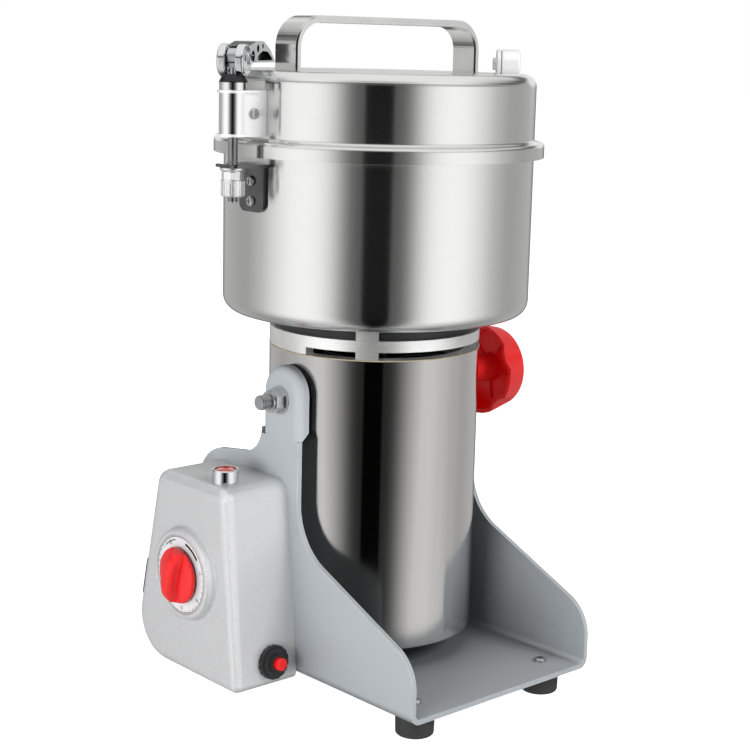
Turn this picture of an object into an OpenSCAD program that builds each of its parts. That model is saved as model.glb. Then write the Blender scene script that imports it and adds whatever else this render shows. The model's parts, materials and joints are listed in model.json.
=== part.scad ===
// High-speed spice grinder on a tilting stand.
// The motor hangs in a bent steel stand on two trunnions. The bowl sits on the motor, and its lid
// swings sideways about a post once the cam clamp on the other side is slack.
// Millimetres. Modelled about the motor axis with the feet on Z = 0, then moved so that the origin
// is under the middle of the whole grinder. -Y is the front and -X the side of the control box.

/* [Whole] */
// Height of the grinder, from the feet to the top of the handle
total_h = 401; // [385:1:415]

/* [Stand] */
// Thickness of the bent stand plate
plate_t = 3; // [2.5:0.1:3.5]
// Gap between the motor casing and each cheek of the stand
side_gap = 6.6; // [6:0.1:8]
// Distance from the motor axis to the front edge of the floor
floor_front = 119; // [112:1:126]
// Distance from the motor axis to the rear edge of the floor
floor_rear = 80; // [80:1:92]
// Height of the front corner of the cheeks above the floor
nose_h = 32.5; // [28:0.5:38]
// Height of the front waist of the cheeks above the floor
waist_h = 78; // [72:1:84]
// Height of the rear waist of the cheeks above the floor
shoulder_h = 127; // [122:1:132]
// Fall of the rear shoulder from the waist to the rear edge
shoulder_fall = 8; // [4:1:12]
// Radius of the ear that carries the trunnion
ear_r = 17; // [15:0.5:18.5]
// Distance from the tilt axis up to the centre of the ear
ear_rise = 3; // [0:0.5:4]
// Distance from the tilt axis down to the end of the ear's flange
ear_drop = 23; // [20:1:26]
// Bend radius of the ear's flange, outside
ear_bend = 5; // [4:0.5:6]
// Gap between the ear's flange and the motor casing
ear_gap = 1.6; // [1:0.1:3]
// Bend radius between floor and cheeks, outside
floor_bend = 6; // [4:0.5:8]

/* [Feet] */
// Height of a rubber foot
foot_h = 15; // [12:0.5:18]
// Radius of a rubber foot
foot_r = 11.5; // [9:0.5:13]
// Distance from the front and rear edges of the floor to the foot centres
foot_inset_y = 19.4; // [15:0.2:24]
// Distance from the side of the stand to the foot centres
foot_inset_x = 21; // [16:0.5:26]
// Radius of a foot screw's shank
foot_screw_r = 2; // [1.5:0.1:2.5]

/* [Motor] */
// Radius of the motor casing
shell_r = 64; // [60:0.5:66]
// Wall of the motor casing
shell_t = 1.2; // [1:0.1:1.6]
// Distance from the tilt axis down to the bottom of the casing
shell_drop = 148.5; // [140:0.5:156]
// Distance from the tilt axis up to the top of the casing
shell_rise = 27.3; // [25:0.1:32]
// Clearance between the tilting casing and the floor
tilt_gap = 0.3; // [0.3:0.1:4]
// Radius of the motor shaft
shaft_r = 6; // [5:0.5:7]
// Outer radius of the shaft bearings
bearing_r = 16; // [15:0.5:17.5]
// Width of the shaft bearings
bearing_w = 10; // [8:0.5:11]
// Radius of the armature
armature_r = 30; // [27:0.5:32]
// Air gap round the armature
air_gap = 0.7; // [0.5:0.1:1]
// Length of the laminated core
core_h = 55; // [48:1:58]
// Radius of the cooling fan
fan_r = 53; // [46:0.5:54]

/* [Trunnions] */
// Radius of the trunnion studs
stud_r = 4; // [3.5:0.1:4.5]
// Radius of the trunnion bosses
boss_r = 9; // [8:0.5:10]
// Outer radius of the tilt knob
tilt_knob_r = 29.5; // [27:0.5:30]
// Height of the tilt knob's rim
tilt_knob_h = 16; // [14:0.5:20]
// Distance from the stand to the rim of the tilt knob
tilt_knob_reach = 18.4; // [17:0.2:22]
// Number of lobes of the tilt knob
tilt_knob_lobes = 5; // [4:1:6]
// Fall of the tilt knob's radius towards its outer face
tilt_knob_taper = 3.6; // [2:0.2:4]

/* [End ring] */
// Height of the windows between casing and band
window_h = 4.6; // [4:0.2:6]
// Height of the bright band
band_h = 6.6; // [6:0.2:8]
// Height from the casing to the underside of the bowl
neck_h = 20.1; // [19:0.1:25]
// Radial thickness of the band
band_t = 6; // [4:0.5:7]

/* [Bowl] */
// Outer radius of the bowl
bowl_r = 92.5; // [90:0.5:94]
// Thickness of the bowl's wall
bowl_t = 1.8; // [1.4:0.1:2.4]
// Radius between the bowl's wall and floor, outside
bowl_fillet = 9; // [7:0.5:15]

/* [Lid] */
// Gap between the bowl's rim and the lid's seal
seal_gap = 0.3; // [0.3:0.1:1]
// Overhang of the lid's skirt past the bowl's wall
skirt_out = 6; // [5:0.1:7]
// Height of the lid's skirt
skirt_h = 8.4; // [7:0.1:10]
// Height of the lid
lid_h = 48; // [44:0.5:52]
// Thickness of the lid's sheet
lid_t = 1.4; // [1:0.1:1.8]
// Radius between the lid's wall and top, outside
lid_fillet = 7; // [5:0.5:9]

/* [Handle] */
// Distance between the handle's legs, middle to middle
handle_span = 142; // [120:1:146]
// Height of the handle above the lid
handle_h = 31; // [29:0.5:40]
// Width of the handle's bar
handle_w = 20; // [16:0.5:21]
// Thickness of the handle's bar
handle_t = 4; // [3:0.2:5]
// Corner radius of the handle, outside
handle_bend = 18; // [12:0.5:22]

/* [Clamp] */
// Distance from the bowl's wall to the clamp rod and the pivot post
clamp_reach = 17; // [16:0.2:20]
// Radius of the clamp rod
rod_r = 2.5; // [2:0.1:2.8]
// Radius of the sleeves on the lid
sleeve_r = 8; // [7:0.2:9]
// Height of the sleeves on the lid
sleeve_h = 25.4; // [22:0.2:28]
// Thickness of the bracket plates
tab_t = 1.6; // [1.2:0.1:2]
// Radius of the cam discs
cam_r = 9.1; // [8.6:0.1:10]
// Distance from the cam pin to the centre of the discs
cam_throw = 2.45; // [2:0.05:2.6]
// Angle of the cam's throw ahead of straight down, with the lever closed
cam_lead = 30; // [25:1:35]
// Thickness of each cam disc
cam_cheek = 4.8; // [4:0.2:6]
// Width of the slot between the cam discs
cam_slot = 5.9; // [5.6:0.1:7]
// Length of the cam lever from its pin
lever_l = 60; // [55:1:66]
// Width of the cam lever's arm
lever_w = 13; // [11:0.5:14]
// Direction of the closed lever, from +X towards +Y
lever_turn = 35; // [30:1:40]
// Height of the knurled nut
nut_h = 16; // [14:0.5:18]
// Radius of the knurled nut
nut_r = 7; // [6.4:0.1:7.4]
// Radius of the pivot post
post_r = 3; // [2.5:0.1:3.5]
// Direction of the pivot head's pin, from +X towards -Y
head_turn = 42; // [30:1:60]

/* [Control box] */
// Depth of the control box from the stand
box_depth = 45.4; // [42:0.2:52]
// Thickness of the control box's wall
box_wall = 2.2; // [1.8:0.1:3]
// Height of the control box's roof above the floor of the stand
box_top = 115; // [108:1:120]
// Radius of the control box's long edges
box_edge = 6.5; // [5:0.5:8]
// Radius of the timer knob
knob_r = 16.3; // [15:0.1:17]
// Height of the timer knob
knob_h = 13.1; // [12:0.1:16]
// Outer radius of the raised ring round the dial
dial_ring_r = 27.4; // [25:0.1:28]
// Radius of the dial plate
dial_r = 20.6; // [18.5:0.1:21.5]
// Radius of the lamp's bezel
lamp_r = 8; // [6.5:0.5:9]
// Radius of the breaker's ring nut
breaker_r = 10.2; // [8.5:0.2:10.5]
// Radius of the reset button
button_r = 3.8; // [3:0.2:4.5]

/* [Blades] */
// Reach of the lowest blade from the shaft
lower_blade_l = 82; // [60:1:84]
// Reach of the middle blade from the shaft
middle_blade_l = 70; // [50:1:76]
// Reach of the top blade from the shaft
upper_blade_l = 58; // [40:1:66]
// Thickness of the blades
blade_t = 2.5; // [2:0.1:3]
// Height of the spacers between the blades
spacer_h = 8; // [6:0.5:9]

/* [Hidden] */

$fn = 64;
eps = 0.01;       // overlap of cutting tools past a face
fit = 0.1;        // gap of pieces seated in or on each other
run = 0.05;       // radial clearance of turning and sliding pins
rest = 0.3;       // gap between pieces of different moving groups

// Levels, from the floor up
floor_top = foot_h + plate_t;
pivot_z = floor_top + sqrt(pow(shell_drop, 2) + pow(shell_r, 2)) + tilt_gap;
shell_bot = pivot_z - shell_drop;
shell_top = pivot_z + shell_rise;
band_z = shell_top + window_h;
bowl_z = shell_top + neck_h;
bowl_h = total_h - handle_h - lid_h - seal_gap - bowl_z;
rim_z = bowl_z + bowl_h;
lid_z = rim_z + seal_gap;
skirt_z = lid_z + skirt_h;
lid_top = lid_z + lid_h;

// Widths
cheek_in = shell_r + side_gap;
cheek_out = cheek_in + plate_t;
skirt_r = bowl_r + skirt_out;
clamp_x = bowl_r + clamp_reach;

// Stand outline, seen from the side
ear_z = pivot_z + ear_rise;
ear_low = pivot_z - ear_drop;
cheek_pts = [[-floor_front, foot_h], [-floor_front, floor_top + nose_h],
    [-ear_r, floor_top + waist_h], [-ear_r, ear_z + ear_r], [ear_r, ear_z + ear_r],
    [ear_r, floor_top + shoulder_h], [floor_rear, floor_top + shoulder_h - shoulder_fall],
    [floor_rear, foot_h]];
cheek_rounds = [0, 25, 37, ear_r, ear_r, 18, 28, 0];
foot_xs = [-1, 1] * (cheek_out - foot_inset_x);
foot_ys = [-floor_front + foot_inset_y, floor_rear - foot_inset_y];

// Motor inside
cover_z = shell_bot + 2;
low_bearing_z = shell_bot + 14;
commutator_z = low_bearing_z + bearing_w + 12;
commutator_h = 20;
core_z = commutator_z + commutator_h + 17;
winding_h = 12;
fan_z = core_z + core_h + winding_h + 9;
fan_h = 18;
core_r = shell_r - shell_t - fit;
pole_r = armature_r + air_gap;
high_bearing_z = shell_top + 2;
bowl_floor = bowl_z + bowl_t;
hub_z = bowl_floor + 8;

// Control box profile: centre and radius of its four corners, in Y and Z
box_x = -cheek_out - box_depth;
box_roof = floor_top + box_top;
box_heel = foot_h - 2.4;
box_corners = [[1.3, box_roof - 9, 9], [54, box_roof - 9, 9],
    [55.5, box_heel + 26, 26], [-13.4, box_heel + 5, 5]];
dial_y = box_corners[0].x + 28;
dial_z = box_roof - box_top * 0.5;
dial_ring_h = 1.64 * box_wall;
dial_sink = 0.6;
dial_plate_t = 0.8;
lamp_x = box_x + 14;
lamp_y = 11;
lamp_h = 8;
breaker_x = box_x + 27.6;
breaker_z = box_heel + 14.8;
inlet_x = box_x + 20;
inlet_z = box_heel + 47;
inlet_w = 31;
inlet_h = 27.5;
button_travel = 3;
grip_lean = -18;

// Clamp levels
sleeve_z = skirt_z + 3.4;
sleeve_top = sleeve_z + sleeve_h;
saddle_z = sleeve_top + fit;
saddle_h = 6.4;
saddle_rim = 2.1;
trough_r = cam_r + 1.9;
saddle_top = saddle_z + saddle_h;
cam_z = saddle_top + rest + cam_r;
cam_pin_z = cam_z + cam_throw * cos(cam_lead);
cam_pin_r = 2;
cam_w = 2 * cam_cheek + cam_slot;
flange_t = 1.5;
flange_r = sleeve_r + 1.1;
tab_top = rim_z - 3.3;
tab_w = 20;
tab_out = 6.5;
catch_w = 22;
catch_h = 27.4;
catch_shift = 3;
slot_gap = 0.5;
nut_top = tab_top - tab_t - rest;
rod_end = nut_top - nut_h - 3.2;
screw_head_r = 3.1;
screw_head_h = 1.9;
head_barrel_l = 14.7;
head_plate_t = 2.1;
head_pin_t = 2.3;
head_pin_r = 3.75;

// Middle of the whole grinder, for the origin
head_end = cos(head_turn) * (head_barrel_l / 2) + sin(head_turn) * cam_r;
x_max = clamp_x + max(head_end, tab_out);
x_min = box_x - dial_ring_h - rest - knob_h;
y_max = max(skirt_r, floor_rear);
origin_shift = [-(x_max + x_min) / 2, (floor_front - y_max) / 2, 0];

function unit(v) = v / norm(v);

// Arc that rounds the corner b between a and c
function corner(a, b, c, r, n) = r <= 0 ? [b] : let (
    u = unit(a - b),
    v = unit(c - b),
    half = acos(u * v) / 2,
    m = b + unit(u + v) * r / sin(half),
    p = b + u * r / tan(half) - m,
    q = b + v * r / tan(half) - m,
    a0 = atan2(p.y, p.x),
    turn = (atan2(q.y, q.x) - a0 + 540) % 360 - 180)
    [for (i = [0:n]) m + r * [cos(a0 + turn * i / n), sin(a0 + turn * i / n)]];

// Closed outline with each corner rounded by its own radius
function rounded(pts, radii, n = 12) = let (k = len(pts))
    [for (i = [0:k - 1]) each corner(pts[(i + k - 1) % k], pts[i], pts[(i + 1) % k], radii[i], n)];

// Direction of the outward normal of the straight face between two corner circles
function face_angle(c1, c2, side) = let (d = [c2.x - c1.x, c2.y - c1.y])
    atan2(d.y, d.x) + side * acos((c1.z - c2.z) / norm(d));

box_front_angle = face_angle(box_corners[0], box_corners[3], -1);
box_rear_angle = face_angle(box_corners[1], box_corners[2], 1);

// Y of a leaning face of the control box at height z
function face_y(c, angle, z) = c.x + (c.z - (z - c.y) * sin(angle)) / cos(angle);

module placed() translate(origin_shift) children();

// Extrude an outline drawn in Y and Z along X, from x0 to x1
module along_x(x0, x1) translate([x0, 0, 0]) rotate([90, 0, 90]) linear_extrude(x1 - x0) children();

// Extrude an outline drawn in X and Z along Y, from y0 to y1
module along_y(y0, y1) translate([0, y1, 0]) rotate([90, 0, 0]) linear_extrude(y1 - y0) children();

// Round bar along X
module bar_x(x0, x1, r) translate([x0, 0, 0]) rotate([0, 90, 0]) cylinder(r = r, h = x1 - x0);

// Tube standing on z0
module tube(r, hole, z0, h) translate([0, 0, z0]) difference() {
    cylinder(r = r, h = h);
    translate([0, 0, -eps]) cylinder(r = hole, h = h + 2 * eps);
}

// Sector of a ring between two angles
module ring_arc(r0, r1, z0, h, a0, a1) translate([0, 0, z0]) rotate(a0)
    rotate_extrude(angle = a1 - a0) translate([r0, 0]) square([r1 - r0, h]);

// Pan-head screw with a cross recess, head on Z = 0 and shank below it
module pan_screw(head_r, head_h, shank_r, shank_l) difference() {
    union() {
        rotate_extrude() polygon(rounded([[0, 0], [head_r, 0], [head_r, head_h], [0, head_h]],
            [0, 0, head_h * 0.7, 0], 8));
        translate([0, 0, -shank_l]) cylinder(r = shank_r, h = shank_l + eps);
    }
    for (a = [0, 90]) rotate(a) translate([-head_r * 0.55, -head_r * 0.1, head_h * 0.45])
        cube([head_r * 1.1, head_r * 0.2, head_h]);
}

// Stand

// Cap and sides of the ear, for the cheek on +X
module ear() {
    lip = shell_r + ear_gap;
    section = rounded([[0, cheek_in], [ear_r - plate_t, cheek_in], [ear_r - plate_t, lip],
        [ear_r, lip], [ear_r, cheek_out], [0, cheek_out]],
        [0, ear_bend - plate_t, 0, 0, ear_bend, 0], 8);
    translate([0, 0, ear_z]) rotate([90, 0, 90]) rotate_extrude(angle = 180) polygon(section);
    for (side = [0, 1]) mirror([0, side, 0]) difference() {
        translate([0, 0, ear_low]) linear_extrude(ear_z - ear_low)
            polygon([for (q = section) [q.y, q.x]]);
        along_y(0, ear_r + 1) polygon([[lip - 1, ear_low - 1],
            [cheek_in, ear_low - 1], [cheek_in, ear_low], [lip, ear_low + cheek_in - lip],
            [lip - 1, ear_low + cheek_in - lip]]);
    }
}

module stand_frame() color("#9ca1a5") placed() difference() {
    union() {
        difference() {
            intersection() {
                along_y(-floor_front, floor_rear) polygon(rounded([[-cheek_out, foot_h],
                    [cheek_out, foot_h], [cheek_out, ear_z + ear_r], [cheek_in, ear_z + ear_r],
                    [cheek_in, floor_top], [-cheek_in, floor_top], [-cheek_in, ear_z + ear_r],
                    [-cheek_out, ear_z + ear_r]], [floor_bend, floor_bend, 0, 0,
                    floor_bend - plate_t, floor_bend - plate_t, 0, 0], 8));
                along_x(-cheek_out - 1, cheek_out + 1)
                    polygon(rounded(cheek_pts, cheek_rounds, 20));
            }
            translate([-cheek_out - 1, -ear_r, ear_low])
                cube([2 * cheek_out + 2, 2 * ear_r, ear_z + ear_r]);
        }
        ear();
        mirror([1, 0, 0]) ear();
    }
    translate([0, 0, pivot_z]) bar_x(-cheek_out - 1, cheek_out + 1, stud_r + 0.1);
    for (x = foot_xs, y = foot_ys) translate([x, y, foot_h - 1])
        cylinder(r = foot_screw_r + fit, h = plate_t + 2);
    for (q = box_screw_at) translate([0, q.x, q.y]) bar_x(-cheek_out - 1, -cheek_in + 1, 2.1);
}

module rubber_feet() color("#1c1c1d") placed() for (x = foot_xs, y = foot_ys)
    translate([x, y, 0]) difference() {
        rotate_extrude() polygon(rounded([[0, 0], [foot_r - 0.4, 0], [foot_r, foot_h], [0, foot_h]],
            [0, 1.5, 0, 0], 6));
        translate([0, 0, foot_h * 0.25]) cylinder(r = foot_screw_r + fit, h = foot_h);
    }

module foot_screws() color("#c9cbcc") placed() for (x = foot_xs, y = foot_ys)
    translate([x, y, floor_top]) pan_screw(3.6, 2.2, foot_screw_r, foot_h * 0.7 + plate_t);

// Control box

// Round disc along -X whose outer rim is rounded, one corner of the box
module box_disc(c, inset, depth) let (r = c.z - inset, e = min(box_edge - inset, r - 0.2))
    translate([-cheek_out, c.x, c.y]) rotate([0, -90, 0]) rotate_extrude($fn = 32)
        polygon(rounded([[0, 0], [r, 0], [r, depth], [0, depth]], [0, 0, max(e, 0.5), 0], 5));

module box_solid(inset) hull() for (c = box_corners) box_disc(c, inset, box_depth - inset);

// Put something on the leaning front or rear face of the box, pointing outwards
module on_face(c, angle, x, z) translate([x, face_y(c, angle, z), z]) rotate([angle, 0, 0])
    rotate([-90, 0, 0]) children();

module on_front() on_face(box_corners[0], box_front_angle, breaker_x, breaker_z) children();
module on_rear() on_face(box_corners[1], box_rear_angle, inlet_x, inlet_z) children();
module on_dial() translate([box_x, dial_y, dial_z]) rotate([0, -90, 0]) children();

box_screw_at = [[2, box_roof - 16], [46, box_roof - 16], [50, box_heel + 21], [11, box_heel + 18]];
box_post_r = 5;
timer_w = 34;
timer_d = 20;
timer_hub_r = 3;

module control_box() color("#c3c5c7") placed() difference() {
    union() {
        difference() {
            box_solid(0);
            difference() {
                translate([eps, 0, 0]) box_solid(box_wall);
                for (q = box_screw_at) translate([0, q.x, q.y])
                    bar_x(box_x, -cheek_out + 1, box_post_r);
            }
        }
        on_dial() translate([0, 0, -eps]) rotate_extrude() polygon(rounded([[0, 0],
            [dial_ring_r, 0], [dial_ring_r - 1.2, dial_ring_h], [dial_r + 2, dial_ring_h],
            [dial_r + fit, dial_ring_h - dial_sink], [0, dial_ring_h - dial_sink]],
            [0, 0, 2.2, 1.2, 0, 0], 8));
    }
    for (q = box_screw_at) translate([0, q.x, q.y])
        bar_x(-cheek_out - 14, -cheek_out + 1, 1.7 + fit);
    on_dial() translate([0, 0, -box_wall - 1])
        cylinder(r = timer_hub_r + 1, h = dial_ring_h + box_wall + 2);
    translate([lamp_x, lamp_y, box_roof - box_wall - 1])
        cylinder(r = lamp_r - 2 + fit, h = box_wall + 2);
    on_front() translate([0, 0, -8]) cylinder(r = button_r + 1.6 + fit, h = 12);
    on_rear() translate([0, 0, -5]) linear_extrude(8)
        square([inlet_w - 4 + 2 * fit, inlet_h - 4 + 2 * fit], center = true);
}

module box_screws() color("#c9cbcc") placed() for (q = box_screw_at)
    translate([-cheek_in, q.x, q.y]) rotate([0, 90, 0]) pan_screw(3.3, 1.8, 1.7, plate_t + 10);

module lamp_bezel() color("#d9dadb") placed() translate([lamp_x, lamp_y, box_roof]) difference() {
    union() {
        rotate_extrude() polygon(rounded([[0, 0], [lamp_r, 0], [lamp_r, lamp_h], [0, lamp_h]],
            [0, 0, 0.8, 0], 4));
        translate([0, 0, -box_wall - 7]) cylinder(r = lamp_r - 2, h = box_wall + 8);
    }
    translate([0, 0, -box_wall - 8]) cylinder(r = lamp_r - 3.2, h = box_wall + 20);
    translate([0, 0, lamp_h - 2.5]) cylinder(r = lamp_r - 1.4, h = 4);
}

module lamp_lens() color("#e33226") placed() translate([lamp_x, lamp_y, box_roof]) {
    translate([0, 0, -4]) cylinder(r = lamp_r - 3.2 - fit, h = lamp_h + 1.5);
    translate([0, 0, lamp_h - 2.5]) rotate_extrude() polygon(rounded([[0, 0],
        [lamp_r - 1.5, 0], [lamp_r - 1.5, 1.6], [0, 2.4]], [0, 0, 1, 0], 5));
}

module dial_plate() color("#dfe2e3") placed() on_dial()
    translate([0, 0, dial_ring_h - dial_sink]) difference() {
        cylinder(r = dial_r, h = dial_plate_t);
        translate([0, 0, -1]) cylinder(r = timer_hub_r + 1, h = 3);
    }

module timer_body() color("#3a3a3c") placed() on_dial() translate([0, 0, -box_wall - fit])
    difference() {
        union() {
            translate([-timer_w / 2, -timer_w / 2, -timer_d]) cube([timer_w, timer_w, timer_d]);
            translate([0, 0, -timer_d * 1.2]) cylinder(r = timer_w * 0.44, h = timer_d / 4);
        }
        translate([0, 0, -timer_d * 0.7]) cylinder(r = timer_hub_r + run, h = timer_d);
    }

module breaker_body() color("#19191a") placed() on_front() difference() {
    union() {
        translate([0, 0, -box_wall - 13.6]) cylinder(r = 6.6, h = 13);
        translate([0, 0, -box_wall - 2]) cylinder(r = button_r + 1.6, h = box_wall + 8.4);
    }
    translate([0, 0, -box_wall - 12]) cylinder(r = button_r + run, h = 40);
}

module breaker_nut() color("#19191a") placed() on_front() difference() {
    union() {
        cylinder(r = breaker_r, h = 3);
        translate([0, 0, 2]) cylinder(r = breaker_r - 1.8, h = 2.6);
    }
    translate([0, 0, -1]) cylinder(r = button_r + 1.6 + fit, h = 8);
    for (i = [0:15]) rotate(i * 22.5) translate([breaker_r + 0.2, 0, -1]) cylinder(r = 0.7, h = 5);
}

module mains_inlet() color("#1d1d1e") placed() on_rear() difference() {
    union() {
        linear_extrude(2.6) polygon(rounded([[-inlet_w / 2, -inlet_h / 2],
            [inlet_w / 2, -inlet_h / 2], [inlet_w / 2, inlet_h / 2], [-inlet_w / 2, inlet_h / 2]],
            [3, 3, 3, 3], 6));
        translate([0, 0, -19]) linear_extrude(20)
            square([inlet_w - 4, inlet_h - 4], center = true);
    }
    translate([0, 0, -14]) linear_extrude(20) polygon(rounded([[-11, -7], [11, -7], [11, 4],
        [8, 7], [-8, 7], [-11, 4]], [1, 1, 1, 1, 1, 1], 3));
    for (q = inlet_pin_at) translate([q.x - 2 - run, q.y - 1 - run, -21])
        cube([4 + 2 * run, 2 + 2 * run, 10]);
}

inlet_pin_at = [[-7, -2], [7, -2], [0, 2.5]];

module inlet_pins() color("#c8a24a") placed() on_rear() for (q = inlet_pin_at)
    translate([q.x - 2, q.y - 1, -23]) cube([4, 2, 20]);

// Round knob on a narrower back, with a hollow swept along each side of a leaning grip
module timer_knob() color("#e02a25") placed() on_dial()
    translate([0, 0, dial_ring_h - dial_sink + dial_plate_t + rest]) {
        top = knob_h + dial_sink - dial_plate_t;
        scoop_r = top * 0.84;
        difference() {
            rotate_extrude($fn = 96) polygon(rounded([[0, 0], [knob_r * 0.77, 0],
                [knob_r, top * 0.25], [knob_r, top * 0.46], [knob_r * 0.76, top],
                [0, top]], [0, 1, 1.6, 2.6, 3.2, 0], 8));
            rotate(grip_lean) for (side = [-1, 1])
                translate([0, side * (scoop_r + 2.2), top * 1.27]) rotate([0, 90, 0])
                    translate([0, 0, -2 * knob_r]) cylinder(r = scoop_r, h = 4 * knob_r, $fn = 96);
        }
        translate([0, 0, -dial_ring_h - box_wall - timer_d * 0.4])
            cylinder(r = timer_hub_r, h = dial_ring_h + box_wall + timer_d * 0.4 + 1);
    }

module reset_button() color("#e2342b") placed() on_front() translate([0, 0, -box_wall - 7])
    rotate_extrude() polygon(rounded([[0, 0], [button_r, 0], [button_r, box_wall + 17.2],
        [0, box_wall + 17.2]], [0, 0, 0.9, 0], 5));

// Motor

module motor_shell() color("#c6c6c5") placed() difference() {
    rotate_extrude($fn = 128) polygon(rounded([[shell_r - 3, shell_bot], [shell_r, shell_bot],
        [shell_r, shell_top], [shell_r - shell_t, shell_top],
        [shell_r - shell_t, shell_bot + shell_t], [shell_r - 3, shell_bot + shell_t]],
        [0, 1.4, 0, 0, 0.2, 0], 6));
    translate([0, 0, pivot_z]) bar_x(-shell_r - 5, shell_r + 5, boss_r + fit);
}

post_angles = [-136, -40, 56];
post_half = 6;
pad_from = 141;
pad_to = 189;

module end_ring() color("#c9cac9") placed() difference() {
    union() {
        tube(shell_r - shell_t - fit, shell_r - band_t - 2, shell_top - 12, 12);
        tube(shell_r, shell_r - band_t, band_z, band_h);
        for (a = post_angles) {
            end_post(a - post_half, a + post_half);
            ring_arc(shell_r - 2.6, shell_r - 0.2, band_z + band_h - 1,
                bowl_z - band_z - band_h + 1 - fit, a - post_half, a + post_half);
        }
        end_post(pad_from, pad_to);
        tube(shell_r - band_t + 1, bearing_r + 2, band_z + band_h - 3, 3);
        tube(bearing_r + 5, bearing_r + fit, high_bearing_z, bearing_w + 2.5);
        tube(bearing_r + 2, shaft_r + 2, high_bearing_z + bearing_w + fit, 2.4);
    }
    translate([0, 0, pivot_z]) bar_x(-shell_r - 5, shell_r + 5, boss_r + 2);
}

// Post between the spigot inside the casing and the band
module end_post(a0, a1) rotate(a0) rotate_extrude(angle = a1 - a0) polygon([
    [shell_r - band_t - 1, shell_top - 1], [shell_r - shell_t - 0.6, shell_top - 1],
    [shell_r - shell_t - 0.6, shell_top + fit], [shell_r - 0.2, shell_top + fit],
    [shell_r - 0.2, band_z + 1], [shell_r - band_t - 1, band_z + 1]]);

module bowl_gasket() color("#26262a") placed() difference() {
    tube(shell_r - 2.8, bearing_r + 12, band_z + band_h + fit, bowl_z - band_z - band_h - fit);
    for (a = bowl_screw_angles) rotate(a) translate([bowl_screw_circle, 0, band_z])
        cylinder(r = 2.1, h = neck_h);
}

module bearing(z0) placed() color("#b8babb") tube(bearing_r, shaft_r + run, z0, bearing_w);

module top_bearing() bearing(high_bearing_z);
module bottom_bearing() bearing(low_bearing_z);

module stator_core() color("#7d7f82") placed() difference() {
    union() {
        tube(core_r, core_r - 10, core_z, core_h);
        for (a = [90, 270]) {
            ring_arc(pole_r + 4, core_r - 9, core_z, core_h, a - 28, a + 28);
            ring_arc(pole_r, pole_r + 5, core_z, core_h, a - 56, a + 56);
        }
    }
    for (a = [0:45:315]) rotate(a + 22.5) translate([core_r, 0, core_z - 1])
        cylinder(r = 2.5, h = core_h + 2);
}

module field_coils() color("#a5562b") placed() for (a = [90, 270]) difference() {
    ring_arc(pole_r + 6, core_r - 11, core_z - 9, core_h + 18, a - 50, a + 50);
    ring_arc(pole_r + 3, core_r - 8, core_z - fit, core_h + 2 * fit, a - 30, a + 30);
}

brush_w = 7;
commutator_r = 14;
holder_x = commutator_r + 2.5;
holder_l = core_r - 20.2 - holder_x;

module brush_holders() color("#33302c") placed() for (side = [0, 1]) mirror([side, 0, 0])
    difference() {
        translate([holder_x, -brush_w, commutator_z + 3])
            cube([holder_l, 2 * brush_w, 2 * brush_w]);
        translate([holder_x - 1, -brush_w / 2 - fit, commutator_z + 3 + brush_w / 2 - fit])
            cube([holder_l, brush_w + 2 * fit, brush_w + 2 * fit]);
    }

module carbon_brushes() color("#2b2b2b") placed() for (side = [0, 1]) mirror([side, 0, 0])
    translate([commutator_r + rest, -brush_w / 2, commutator_z + 3 + brush_w / 2])
        cube([20, brush_w, brush_w]);

module lower_bracket() color("#b9bbbb") placed() {
    tube(bearing_r + 5, bearing_r + fit, low_bearing_z, bearing_w);
    tube(bearing_r + 5, shaft_r + 2, low_bearing_z - 2, 2);
    tube(core_r, core_r - 5, low_bearing_z, core_z - low_bearing_z - 9.5);
    for (a = [45:90:315]) rotate(a) translate([bearing_r + 3, -6, low_bearing_z])
        cube([core_r - bearing_r - 6, 12, 6]);
    for (side = [0, 1]) mirror([side, 0, 0]) translate([holder_x + holder_l, -6, commutator_z + 4])
        cube([core_r - 3 - holder_x - holder_l, 12, 10]);
}

module bottom_cover() color("#8b8d8f") placed() difference() {
    union() {
        translate([0, 0, cover_z]) cylinder(r = core_r, h = 1.6);
        for (a = cover_screw_angles) rotate(a) translate([core_r - 9, 0, cover_z])
            cylinder(r = 4, h = low_bearing_z - cover_z);
    }
    for (i = [0:23]) rotate(i * 15) translate([26, -1.6, cover_z - 1]) cube([20, 3.2, 4]);
    for (a = cover_screw_angles) rotate(a) translate([core_r - 9, 0, cover_z - 1])
        cylinder(r = 1.7 + fit, h = low_bearing_z - cover_z + 2);
}

cover_screw_angles = [7.5, 127.5, 247.5];

module cover_screws() color("#c9cbcc") placed() for (a = cover_screw_angles) rotate(a)
    translate([core_r - 9, 0, cover_z]) mirror([0, 0, 1]) pan_screw(3.2, 1.8, 1.7, 10);

module trunnion_bosses() color("#a9abac") placed() for (side = [0, 1]) mirror([side, 0, 0])
    translate([0, 0, pivot_z]) difference() {
        bar_x(shell_r - 6, cheek_in - rest, boss_r);
        bar_x(shell_r - 7, cheek_in, stud_r);
    }

module trunnion_studs() color("#c9cbcc") placed() translate([0, 0, pivot_z]) {
    bar_x(-cheek_out - 16, -shell_r + 5.9, stud_r);
    bar_x(shell_r - 5.9, cheek_out + tilt_knob_reach + tilt_knob_h - 7, stud_r);
}

module pivot_nut() color("#c3c5c6") placed() translate([-cheek_out - rest, 0, pivot_z])
    rotate([0, -90, 0]) difference() {
        union() {
            cylinder(r = 8.2, h = 1.5);
            translate([0, 0, 1.4]) intersection() {
                cylinder(r = 7.5, h = 6, $fn = 6);
                cylinder(r1 = 7.8, r2 = 7, h = 6);
            }
            translate([0, 0, 7]) cylinder(r = 5.9, h = 1.9);
        }
        translate([0, 0, -1]) cylinder(r = stud_r + eps, h = 12);
    }

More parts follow.
